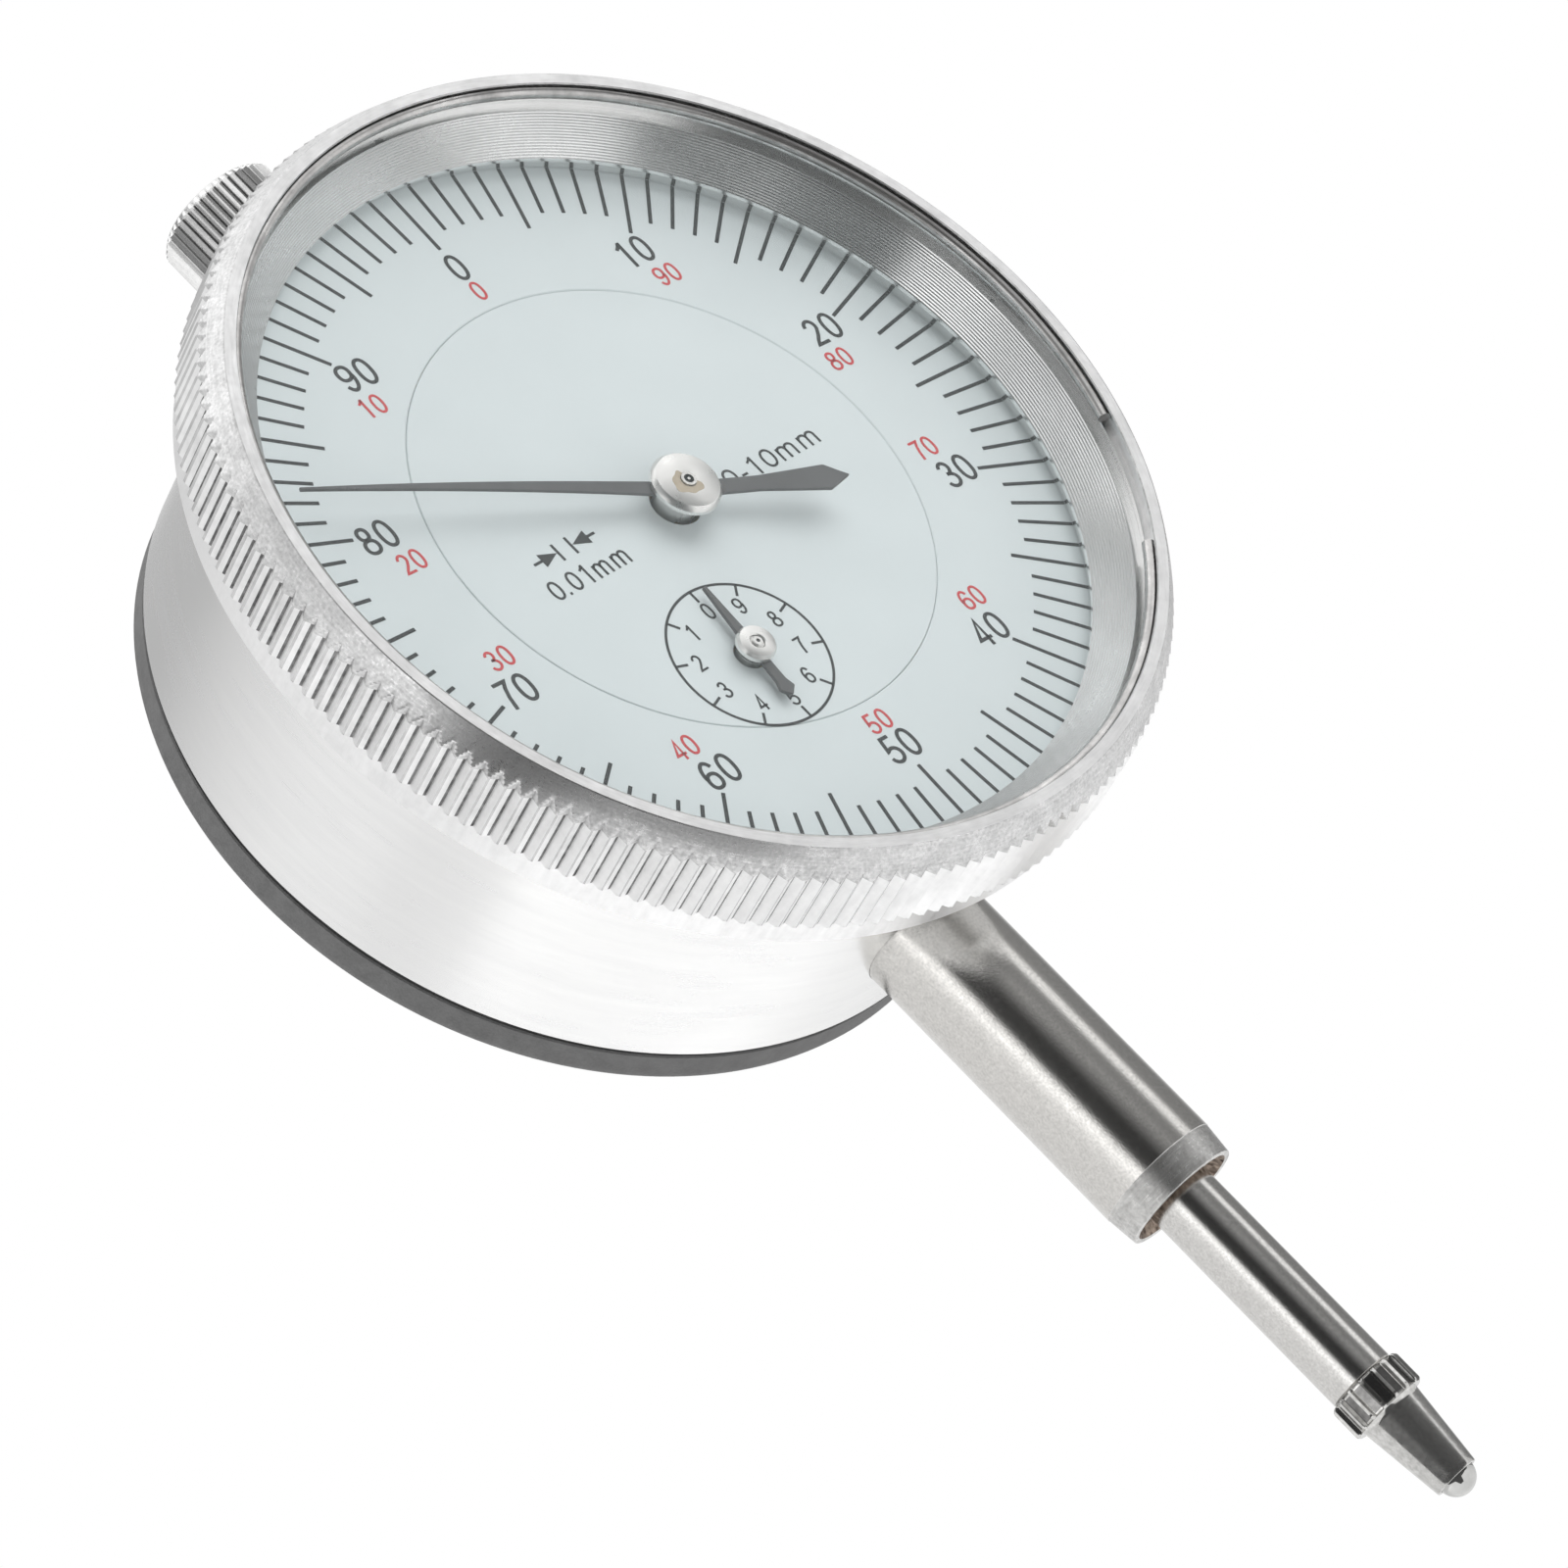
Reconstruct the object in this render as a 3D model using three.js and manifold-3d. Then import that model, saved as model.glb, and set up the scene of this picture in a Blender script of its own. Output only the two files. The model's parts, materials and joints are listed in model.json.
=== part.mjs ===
// A plunger dial indicator, 0-10 mm by 0.01 mm, as separate pieces in millimetres.
// The spindle runs along Z and its contact ball points down. Z = 0 is the stem's lower end.
// The dial faces -Y. Seen from the front, X points right.
import * as THREE from 'three';
import { mergeVertices } from 'three/addons/utils/BufferGeometryUtils.js';
import Module from 'manifold-3d';

const wasm = await Module();
wasm.setup();

// ---------- driving dimensions ----------
const STEM_RADIUS = 4;
const SPINDLE_RADIUS = 2.15;
const TRAVEL = 10.4;
const CASE_RADIUS = 27;
const CASE_WALL = 1.8;
const DIAL_HEIGHT = 49; // from the stem's lower end up to the dial's centre
const BEZEL_RADIUS = 30.4;
const RUNNING_GAP = 0.05;
const NESTING_GAP = 0.02;
const CLEAR = 1; // how far a cutter reaches past what it cuts

// Depths along Y. The front is negative.
const LIP_FRONT = -15.9;
const CRYSTAL_FRONT = -14.7;
const CRYSTAL_BACK = -14;
const DIAL_FRONT = -10.6;
const DIAL_BACK = -10.2;
const CASE_FRONT = -9.8;
const PLATE_FRONT = -9;
const PLATE_BACK = -7.5;
const BEZEL_REAR = -7.75;
const BRIDGE_FRONT = -3.9;
const BRIDGE_BACK = -2.9;
const REAR_PLATE_FRONT = 3.2;
const REAR_PLATE_BACK = 4.4;
const CASE_BACK = 7.2;
const COVER_FRONT = 7.5;
const COVER_BACK = 9.7;

// Gearing: one turn of the long pointer for each millimetre, a tenth of a turn for the short one.
const RACK_PITCH = 0.625;
const RACK_PINION_TEETH = 16;
const WHEEL_TEETH = 100;
const CENTRE_PINION_TEETH = 10;
const TOOTH_SHARE = 0.36; // tooth thickness at the pitch circle, as a part of the pitch
const SUB_DIAL = new THREE.Vector2(-4.3, -10.53); // small dial's centre, from the main dial's centre
const WHEEL_MODULE = (2 * SUB_DIAL.length()) / (WHEEL_TEETH + CENTRE_PINION_TEETH);
const RACK_MODULE = RACK_PITCH / Math.PI;
const RACK_PINION_RADIUS = (RACK_MODULE * RACK_PINION_TEETH) / 2;
const RACK_PITCH_LINE = 1.6; // distance of the rack's pitch line from the spindle's axis
const PINION_X = -(RACK_PITCH_LINE + RACK_PINION_RADIUS);
const TRANSFER = new THREE.Vector2(PINION_X, Math.sqrt(SUB_DIAL.lengthSq() - PINION_X ** 2));

// Fineness of round pieces.
const BIG = 48;
const MEDIUM = 24;
const SMALL = 12;
const TINY = 8;
const HUB = 16;
const POINT_SIDES = 28;

// ---------- materials ----------
function material(color, roughness, metalness) {
  return new THREE.MeshStandardMaterial({ color, roughness, metalness });
}

const finishes = {
  aluminium: () => material(0xd9dadb, 0.3, 1),
  case: () => material(0xe2e2e1, 0.18, 1),
  nickel: () => material(0xbdbab4, 0.32, 1),
  steel: () => material(0xa9a9a8, 0.28, 1),
  brass: () => material(0xc9a85a, 0.35, 1),
  bronze: () => material(0x9c7443, 0.45, 1),
  cover: () => material(0x4a4a4b, 0.6, 0.4),
  pointer: () => material(0x3a3a3c, 0.5, 0.3),
  dial: () => material(0xc8d2d4, 0.55, 0),
  crystal: () => {
    const clear = material(0xf4f8f8, 0.05, 0);
    clear.transparent = true;
    clear.opacity = 0.2;
    return clear;
  },
  rubber: () => material(0x1c1c1c, 0.85, 0),
};

// ---------- solids ----------
const { Manifold, Mesh: SolidMesh } = wasm;

function signedVolume(position, index) {
  const [a, b, c] = [new THREE.Vector3(), new THREE.Vector3(), new THREE.Vector3()];
  let total = 0;
  for (let i = 0; i < index.length; i += 3) {
    a.fromBufferAttribute(position, index[i]);
    b.fromBufferAttribute(position, index[i + 1]);
    c.fromBufferAttribute(position, index[i + 2]);
    total += a.dot(b.cross(c));
  }
  return total;
}

// Turns a closed geometry into a solid, with shared corners merged and every face pointing out.
function solid(geometry) {
  const bare = geometry.clone();
  bare.deleteAttribute('normal');
  bare.deleteAttribute('uv');
  const merged = mergeVertices(bare, 1e-5);
  const position = merged.getAttribute('position');
  const index = [];
  const source = merged.index.array;
  for (let i = 0; i < source.length; i += 3) {
    const [p, q, r] = [source[i], source[i + 1], source[i + 2]];
    if (p !== q && q !== r && r !== p) {
      index.push(p, q, r);
    }
  }
  if (signedVolume(position, index) < 0) {
    index.reverse();
  }
  const triVerts = new Uint32Array(index);
  const vertProperties = new Float32Array(position.array);
  return new Manifold(new SolidMesh({ numProp: 3, vertProperties, triVerts }));
}

function geometryOf(piece) {
  const mesh = piece.getMesh();
  const geometry = new THREE.BufferGeometry();
  geometry.setAttribute('position', new THREE.BufferAttribute(mesh.vertProperties, 3));
  geometry.setIndex(new THREE.BufferAttribute(mesh.triVerts, 1));
  geometry.computeVertexNormals();
  return geometry;
}

function profilePoints(profile) {
  return profile.map(([radius, along]) => new THREE.Vector2(radius, along));
}

// A piece turned about Y. The profile lists [radius, y]. A ring's profile closes on itself.
function turnedY(profile, segments) {
  const points = profilePoints(profile);
  if (profile[0][0] > 0) {
    points.push(points[0].clone());
  }
  return solid(new THREE.LatheGeometry(points, segments));
}

// The same about Z.
function turnedZ(profile, segments) {
  const points = profilePoints(profile);
  if (profile[0][0] > 0) {
    points.push(points[0].clone());
  }
  return solid(new THREE.LatheGeometry(points, segments).rotateX(Math.PI / 2));
}

function rodProfile(radius, from, to) {
  return [[0, from], [radius, from], [radius, to], [0, to]];
}

function tubeProfile(inner, outer, from, to) {
  return [[inner, from], [outer, from], [outer, to], [inner, to]];
}

function rodY(radius, from, to, segments, x = 0, z = 0) {
  return turnedY(rodProfile(radius, from, to), segments).translate([x, 0, z]);
}

function rodZ(radius, from, to, segments) {
  return turnedZ(rodProfile(radius, from, to), segments);
}

function block(size, centre) {
  return solid(new THREE.BoxGeometry(...size).translate(...centre));
}

// A flat plate cut to an outline drawn in X and Z, between two depths.
function plate(outline, from, to) {
  const settings = { depth: to - from, bevelEnabled: false, curveSegments: 6 };
  return solid(new THREE.ExtrudeGeometry(outline, settings).rotateX(Math.PI / 2).translate(0, to, 0));
}

function outlineOf(points) {
  return new THREE.Shape(points.map(([x, z]) => new THREE.Vector2(x, z)));
}

// The outline a string would take round equal discs at the corners, which are listed anticlockwise.
function roundedOutline(corners, radius) {
  const shape = new THREE.Shape();
  const count = corners.length;
  for (let i = 0; i < count; i += 1) {
    const here = corners[i];
    const before = corners[(i + count - 1) % count];
    const after = corners[(i + 1) % count];
    const start = Math.atan2(here[1] - before[1], here[0] - before[0]) - Math.PI / 2;
    const end = Math.atan2(after[1] - here[1], after[0] - here[0]) - Math.PI / 2;
    shape.absarc(here[0], here[1], radius, start, end, false);
  }
  return shape;
}

// The corners of one tooth, as [height, side]: height from root to tip, side in half tooth widths.
const PINION_TOOTH = [['root', -1.3], ['tip', -0.6], ['tip', 0.6], ['root', 1.3]];
const WHEEL_TOOTH = [['root', -1.4], ['tip', 0], ['root', 1.4]];

// A wheel or pinion's outline. The first tooth is centred on the angle start.
function gearOutline(teeth, module, start, tooth) {
  const pitchRadius = (teeth * module) / 2;
  const heights = { tip: pitchRadius + 0.8 * module, root: pitchRadius - 1.05 * module };
  const step = (2 * Math.PI) / teeth;
  const half = (step * TOOTH_SHARE) / 2;
  const corners = [];
  for (let i = 0; i < teeth; i += 1) {
    const centre = start + i * step;
    for (const [height, side] of tooth) {
      const radius = heights[height];
      const angle = centre + side * half;
      corners.push([radius * Math.cos(angle), radius * Math.sin(angle)]);
    }
  }
  return outlineOf(corners);
}

// The start angle of a wheel whose teeth fall midway between those of the centre pinion.
function meshedStart(wheelCentre) {
  const towardsWheel = Math.atan2(wheelCentre.y, wheelCentre.x);
  const pinionStep = (2 * Math.PI) / CENTRE_PINION_TEETH;
  const wheelStep = (2 * Math.PI) / WHEEL_TEETH;
  const nearestTooth = Math.round(towardsWheel / pinionStep) * pinionStep;
  const pinionOffset = (nearestTooth - towardsWheel) / pinionStep;
  return towardsWheel + Math.PI - (pinionOffset + 0.5) * wheelStep;
}

// ---------- the scene ----------
const indicator = new THREE.Group();
const dialGroup = new THREE.Group(); // its origin is the dial's centre, on the spindle's plane
dialGroup.position.z = DIAL_HEIGHT;
indicator.add(dialGroup);

function add(group, name, piece, finish) {
  const mesh = new THREE.Mesh(geometryOf(piece), finishes[finish]());
  mesh.name = name;
  group.add(mesh);
  return mesh;
}

// ---------- case and cover ----------
const SCREW_CIRCLE = 23.6;
const BOSS_RADIUS = 2.2;
const BOSS_FRONT = 1;
const TAPPED_HOLE = { radius: 0.85, bottom: 2.2 };
const FLANGE_INNER = 22.8;
const WIRE_GROOVE = { front: -9.4, back: -8.3, inner: 26.4, outer: 27.55 };
const FLANGE_SCREWS = { circle: 23.9, count: 3, shank: 0.6, head: 1.1, headDepth: 0.7 };
const UPPER_BUSH_RADIUS = 3.2;

function coverScrewPlaces() {
  return [1, 3, 5, 7].map((eighth) => {
    const angle = (eighth * Math.PI) / 4;
    return [SCREW_CIRCLE * Math.cos(angle), SCREW_CIRCLE * Math.sin(angle)];
  });
}

function flangeScrewPlaces() {
  return [0, 1, 2].map((third) => {
    const angle = (third * 2 * Math.PI) / FLANGE_SCREWS.count + Math.PI / 6;
    return [FLANGE_SCREWS.circle * Math.cos(angle), FLANGE_SCREWS.circle * Math.sin(angle)];
  });
}

function buildCase() {
  const inner = CASE_RADIUS - CASE_WALL;
  let body = turnedY([
    [inner, CASE_BACK],
    [CASE_RADIUS, CASE_BACK],
    [CASE_RADIUS, WIRE_GROOVE.back],
    [WIRE_GROOVE.inner, WIRE_GROOVE.back],
    [WIRE_GROOVE.inner, WIRE_GROOVE.front],
    [CASE_RADIUS, WIRE_GROOVE.front],
    [CASE_RADIUS, CASE_FRONT],
    [FLANGE_INNER, CASE_FRONT],
    [FLANGE_INNER, PLATE_FRONT],
    [inner, PLATE_FRONT],
  ], BIG);
  for (const [x, z] of coverScrewPlaces()) {
    body = body.add(rodY(BOSS_RADIUS, BOSS_FRONT, CASE_BACK, SMALL, x, z));
  }
  for (const [x, z] of coverScrewPlaces()) {
    body = body.subtract(rodY(TAPPED_HOLE.radius, TAPPED_HOLE.bottom, CASE_BACK + CLEAR, TINY, x, z));
  }
  for (const [x, z] of flangeScrewPlaces()) {
    const hole = FLANGE_SCREWS.shank + RUNNING_GAP;
    body = body.subtract(rodY(hole, CASE_FRONT - CLEAR, PLATE_FRONT + CLEAR, TINY, x, z));
  }
  const stemHole = rodZ(STEM_RADIUS + NESTING_GAP, -CASE_RADIUS - CLEAR, 3 - inner, MEDIUM);
  const bushHole = rodZ(UPPER_BUSH_RADIUS + NESTING_GAP, inner - 3, CASE_RADIUS + CLEAR, MEDIUM);
  return body.subtract(stemHole).subtract(bushHole);
}

const LUG = { thickness: 5, reach: 7, endRadius: 6, rootHalfHeight: 7.5, holeRadius: 3.25 };
const COVER_SCREW = { head: 1.9, headDepth: 0.9, shank: 0.8, tip: 3 };
const COVER_RADIUS = 26.9;
const COVER_EDGE = 0.3;
const LUG_ROOT = 0.5; // how deep the lug is sunk in the cover
const SCREW_CLEARANCE = 0.2;
const GASKET = { inner: 25.3, outer: 26.75 };

// The lug stands on the cover's middle, in the plane of the spindle, with its hole across.
function buildLug() {
  const holeCentre = COVER_BACK + LUG.reach;
  const outline = new THREE.Shape();
  outline.moveTo(COVER_BACK - LUG_ROOT, LUG.rootHalfHeight);
  outline.lineTo(COVER_BACK - LUG_ROOT, -LUG.rootHalfHeight);
  outline.absarc(holeCentre, 0, LUG.endRadius, -Math.PI / 2, Math.PI / 2, false);
  const hole = new THREE.Path();
  hole.absarc(holeCentre, 0, LUG.holeRadius, 0, 2 * Math.PI, true);
  outline.holes.push(hole);
  const settings = { depth: LUG.thickness, bevelEnabled: false, curveSegments: 12 };
  const flat = new THREE.ExtrudeGeometry(outline, settings).translate(0, 0, -LUG.thickness / 2);
  // Drawn in Y and Z: the outline's first axis becomes Y, its second Z, and the depth X.
  const standing = new THREE.Matrix4().makeBasis(
    new THREE.Vector3(0, 1, 0),
    new THREE.Vector3(0, 0, 1),
    new THREE.Vector3(1, 0, 0),
  );
  return solid(flat.applyMatrix4(standing));
}

function buildCover() {
  let cover = turnedY([
    [0, COVER_FRONT],
    [COVER_RADIUS, COVER_FRONT],
    [COVER_RADIUS, COVER_BACK - COVER_EDGE],
    [COVER_RADIUS - COVER_EDGE, COVER_BACK],
    [0, COVER_BACK],
  ], BIG);
  for (const [x, z] of coverScrewPlaces()) {
    const seat = COVER_BACK - COVER_SCREW.headDepth - 0.1;
    const pocket = rodY(COVER_SCREW.head + SCREW_CLEARANCE, seat, COVER_BACK + CLEAR, SMALL, x, z);
    const hole = rodY(COVER_SCREW.shank + SCREW_CLEARANCE, COVER_FRONT - CLEAR, seat + CLEAR, TINY, x, z);
    cover = cover.subtract(pocket).subtract(hole);
  }
  return cover.add(buildLug());
}

// A screw whose head lies between two depths, with its slotted end at the second.
function slottedScrew(head, headFrom, headTo, shank, tip) {
  const screw = rodY(head, headFrom, headTo, SMALL).add(rodY(shank, tip, headFrom + 0.1, TINY));
  const slotDepth = 0.45 * Math.abs(headTo - headFrom);
  return screw.subtract(block([2 * head + 1, slotDepth * 2, head * 0.28], [0, headTo, 0]));
}

add(dialGroup, 'case', buildCase(), 'case');
add(dialGroup, 'back_cover', buildCover(), 'cover');
const gasket = tubeProfile(GASKET.inner, GASKET.outer, CASE_BACK + NESTING_GAP, COVER_FRONT - NESTING_GAP);
add(dialGroup, 'cover_gasket', turnedY(gasket, BIG), 'rubber');
coverScrewPlaces().forEach(([x, z], i) => {
  const headFrom = COVER_BACK - COVER_SCREW.headDepth - 0.05;
  const headTo = COVER_BACK - 0.05;
  const screw = slottedScrew(COVER_SCREW.head, headFrom, headTo, COVER_SCREW.shank, COVER_SCREW.tip);
  add(dialGroup, `cover_screw_${i + 1}`, screw, 'steel').position.set(x, 0, z);
});

// ---------- stem, bushes, cap ----------
const STEM_TOP = 25.5;
const STEM_BORE = 2.85;
const BUSH_BORE = SPINDLE_RADIUS + RUNNING_GAP;
const STEM_END = { countersink: 3.45, countersinkDepth: 1.1, taper: 0.22, length: 2 };
const LOWER_BUSH = { bottom: 1.6, top: 9.6 };
const UPPER_BUSH = { bottom: 67.5, top: 80 };
const CAP = { radius: 4.2, bottom: 76.35, top: 85.3, edge: 0.8, lead: 0.3, hollow: 2.6 };

function buildStem() {
  return turnedZ([
    [STEM_BORE, STEM_END.countersinkDepth],
    [STEM_END.countersink, 0],
    [STEM_RADIUS - STEM_END.taper, 0],
    [STEM_RADIUS, STEM_END.length],
    [STEM_RADIUS, STEM_TOP],
    [STEM_BORE, STEM_TOP],
  ], MEDIUM);
}

function buildUpperBush() {
  const flange = { bottom: 72.6, top: 73.5, radius: 4.2 };
  return turnedZ([
    [BUSH_BORE, UPPER_BUSH.bottom],
    [UPPER_BUSH_RADIUS, UPPER_BUSH.bottom],
    [UPPER_BUSH_RADIUS, flange.bottom],
    [flange.radius, flange.bottom],
    [flange.radius, flange.top],
    [UPPER_BUSH_RADIUS, flange.top],
    [UPPER_BUSH_RADIUS, UPPER_BUSH.top],
    [BUSH_BORE, UPPER_BUSH.top],
  ], MEDIUM);
}

function buildCap() {
  const threadRadius = UPPER_BUSH_RADIUS + NESTING_GAP;
  const roof = CAP.top - CAP.edge;
  const threadTop = UPPER_BUSH.top + 0.2;
  const profile = [[0, roof], [CAP.hollow, roof], [CAP.hollow, threadTop], [threadRadius, threadTop]];
  profile.push([threadRadius, CAP.bottom], [CAP.radius - CAP.lead, CAP.bottom]);
  profile.push([CAP.radius, CAP.bottom + CAP.lead]);
  for (let i = 0; i <= 3; i += 1) {
    const turn = (i * Math.PI) / 6;
    const radius = CAP.radius - CAP.edge * (1 - Math.cos(turn));
    profile.push([radius, CAP.top - CAP.edge * (1 - Math.sin(turn))]);
  }
  profile.push([0, CAP.top]);
  return turnedZ(profile, MEDIUM);
}

add(indicator, 'stem', buildStem(), 'nickel');
const lowerBush = tubeProfile(BUSH_BORE, STEM_BORE - NESTING_GAP, LOWER_BUSH.bottom, LOWER_BUSH.top);
add(indicator, 'lower_bush', turnedZ(lowerBush, MEDIUM), 'bronze');
add(indicator, 'upper_bush', buildUpperBush(), 'bronze');
add(indicator, 'top_cap', buildCap(), 'aluminium');

// ---------- spindle and contact point ----------
const SPINDLE = { bottom: -14.9, top: 73.8, edge: 0.4 };
const POINT = { socketTop: -9, shankTop: -9.6, shank: 1.2, collarTop: -14.95, collarBottom: -17.1 };
const POINT_CONE = { top: 2.05, bottom: 1.45 };
const COLLAR_RADIUS = 2.55;
const FLUTES = { count: 16, radius: 0.34, outside: 0.06 }; // outside: how far their axes stand off the collar
const BALL = { radius: 1.2, centre: -22.4 };
const GUIDE_PIN = { height: 46.6, radius: 0.75, from: 0.5, to: 6.5 };
const PINION_HEIGHT = DIAL_HEIGHT + TRANSFER.y;

// The comb that cuts the rack: a flat along the spindle's left side with a groove for each tooth gap.
function rackCutter() {
  const tip = -(RACK_PITCH_LINE + 0.8 * RACK_MODULE);
  const root = -(RACK_PITCH_LINE - 1.1 * RACK_MODULE);
  const wideHalf = RACK_PITCH * 0.35;
  const narrowHalf = RACK_PITCH * 0.2;
  const outside = -SPINDLE_RADIUS - CLEAR;
  const above = 5;
  const below = 20;
  const first = PINION_HEIGHT - below * RACK_PITCH;
  const last = PINION_HEIGHT + above * RACK_PITCH;
  const corners = [[outside, first - RACK_PITCH], [tip, first - RACK_PITCH]];
  for (let i = 0; i <= above + below; i += 1) {
    const gap = first + i * RACK_PITCH;
    corners.push([tip, gap - wideHalf], [root, gap - narrowHalf]);
    corners.push([root, gap + narrowHalf], [tip, gap + wideHalf]);
  }
  corners.push([tip, last + RACK_PITCH], [outside, last + RACK_PITCH]);
  return plate(outlineOf(corners), outside, -outside);
}

function buildSpindle() {
  const rod = turnedZ([
    [0, SPINDLE.bottom],
    [SPINDLE_RADIUS, SPINDLE.bottom],
    [SPINDLE_RADIUS, SPINDLE.top - SPINDLE.edge],
    [SPINDLE_RADIUS - SPINDLE.edge, SPINDLE.top],
    [0, SPINDLE.top],
  ], MEDIUM);
  const socket = rodZ(POINT.shank + NESTING_GAP, SPINDLE.bottom - CLEAR, POINT.socketTop, POINT_SIDES);
  const pinHole = rodY(GUIDE_PIN.radius + NESTING_GAP, GUIDE_PIN.from - 0.1, SPINDLE_RADIUS + CLEAR, SMALL)
    .translate([0, 0, GUIDE_PIN.height]);
  return rod.subtract(socket).subtract(pinHole).subtract(rackCutter());
}

function ball(radius) {
  return solid(new THREE.SphereGeometry(radius, 16, 10).rotateX(Math.PI / 2)).translate([0, 0, BALL.centre]);
}

function buildContactPoint() {
  let point = turnedZ([
    [0, POINT.shankTop],
    [POINT.shank, POINT.shankTop],
    [POINT.shank, POINT.collarTop],
    [COLLAR_RADIUS, POINT.collarTop],
    [COLLAR_RADIUS, POINT.collarBottom],
    [POINT_CONE.top, POINT.collarBottom - 0.1],
    [POINT_CONE.bottom, BALL.centre - 0.1],
    [0, BALL.centre - 0.1],
  ], POINT_SIDES);
  for (let i = 0; i < FLUTES.count; i += 1) {
    const angle = (i * 2 * Math.PI) / FLUTES.count;
    const flute = rodZ(FLUTES.radius, POINT.collarBottom - 0.05, POINT.collarTop + 0.05, 5);
    const radius = COLLAR_RADIUS + FLUTES.outside;
    point = point.subtract(flute.translate([radius * Math.cos(angle), radius * Math.sin(angle), 0]));
  }
  return point.subtract(ball(BALL.radius + RUNNING_GAP));
}

add(indicator, 'spindle', buildSpindle(), 'steel');
add(indicator, 'contact_point', buildContactPoint(), 'steel');
add(indicator, 'contact_ball', ball(BALL.radius), 'steel');
const guidePin = rodY(GUIDE_PIN.radius, GUIDE_PIN.from, GUIDE_PIN.to, SMALL);
add(indicator, 'guide_pin', guidePin, 'steel').position.z = GUIDE_PIN.height;

// ---------- plates, bridge and pillars ----------
const PILLARS = [[9.5, 17.3], [9.5, -17.3], [-15.5, 6.8]];
const PILLAR_RADIUS = 1.5;
const SPRING_POST = { x: 0, z: -17.7, radius: 0.6, to: 6.5 };
const BRIDGE_PILLARS = [[7, 0.1], [-13.5, 0.1]];
const PLATE_CORNER = 3;
const BRIDGE_CORNER = 2.2;
const PLATE_SCREW = { shank: 0.7, head: 1.4, headDepth: 0.8, depth: 3 };
const BRIDGE_SCREW = { shank: 0.65, head: 1.2, headDepth: 0.5, tip: -5.6 };
const PIVOT = 0.35;
const ARBOR = { transfer: 0.7, centre: 0.5, takeUp: 0.45 };
const HAIRSPRING = { inner: 1.3, outer: 6, turns: 5, thickness: 0.12, front: -5.5, back: -4.7 };
const STUD = { x: SUB_DIAL.x, z: SUB_DIAL.y + HAIRSPRING.outer + 0.65, radius: 0.5 };

function buildFrontPlate() {
  let disc = turnedY(rodProfile(CASE_RADIUS - CASE_WALL - 0.2, PLATE_FRONT + NESTING_GAP, PLATE_BACK), BIG);
  const holes = [
    [ARBOR.centre + RUNNING_GAP, 0, 0],
    [PIVOT + RUNNING_GAP, TRANSFER.x, TRANSFER.y],
    [ARBOR.takeUp + RUNNING_GAP, SUB_DIAL.x, SUB_DIAL.y],
    ...flangeScrewPlaces().map(([x, z]) => [FLANGE_SCREWS.shank + RUNNING_GAP, x, z]),
  ];
  for (const [radius, x, z] of holes) {
    disc = disc.subtract(rodY(radius, PLATE_FRONT - CLEAR, PLATE_BACK + CLEAR, SMALL, x, z));
  }
  return disc;
}

function buildRearPlate() {
  const corners = [PILLARS[0], PILLARS[2], [SPRING_POST.x, SPRING_POST.z], PILLARS[1]];
  let sheet = plate(roundedOutline(corners, PLATE_CORNER), REAR_PLATE_FRONT, REAR_PLATE_BACK);
  const holes = [
    [PIVOT + RUNNING_GAP, TRANSFER.x, TRANSFER.y],
    [SPRING_POST.radius + NESTING_GAP, SPRING_POST.x, SPRING_POST.z],
    ...PILLARS.map(([x, z]) => [PLATE_SCREW.shank + RUNNING_GAP, x, z]),
  ];
  for (const [radius, x, z] of holes) {
    sheet = sheet.subtract(rodY(radius, REAR_PLATE_FRONT - CLEAR, REAR_PLATE_BACK + CLEAR, SMALL, x, z));
  }
  const slotHalf = GUIDE_PIN.radius + RUNNING_GAP;
  const spare = 0.2;
  const low = GUIDE_PIN.height - DIAL_HEIGHT - slotHalf - spare;
  const high = low + TRAVEL + 2 * slotHalf + 2 * spare;
  const middle = [0, (REAR_PLATE_FRONT + REAR_PLATE_BACK) / 2, (high + low) / 2];
  return sheet.subtract(block([2 * slotHalf, 4, high - low], middle));
}

function buildBridge() {
  const corners = [BRIDGE_PILLARS[0], BRIDGE_PILLARS[1], [SUB_DIAL.x, SUB_DIAL.y]];
  let bridge = plate(roundedOutline(corners, BRIDGE_CORNER), BRIDGE_FRONT, BRIDGE_BACK);
  const holes = [
    [PIVOT + RUNNING_GAP, 0, 0],
    [PIVOT + RUNNING_GAP, SUB_DIAL.x, SUB_DIAL.y],
    [STUD.radius + NESTING_GAP, STUD.x, STUD.z],
    ...BRIDGE_PILLARS.map(([x, z]) => [PLATE_SCREW.shank, x, z]),
  ];
  for (const [radius, x, z] of holes) {
    bridge = bridge.subtract(rodY(radius, BRIDGE_FRONT - CLEAR, BRIDGE_BACK + CLEAR, SMALL, x, z));
  }
  return bridge;
}

function buildPillar(from, to, tapped) {
  const pillar = rodY(PILLAR_RADIUS, from, to, SMALL);
  const hole = rodY(PLATE_SCREW.shank + RUNNING_GAP, to - tapped, to + CLEAR, SMALL);
  return pillar.subtract(hole);
}

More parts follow.
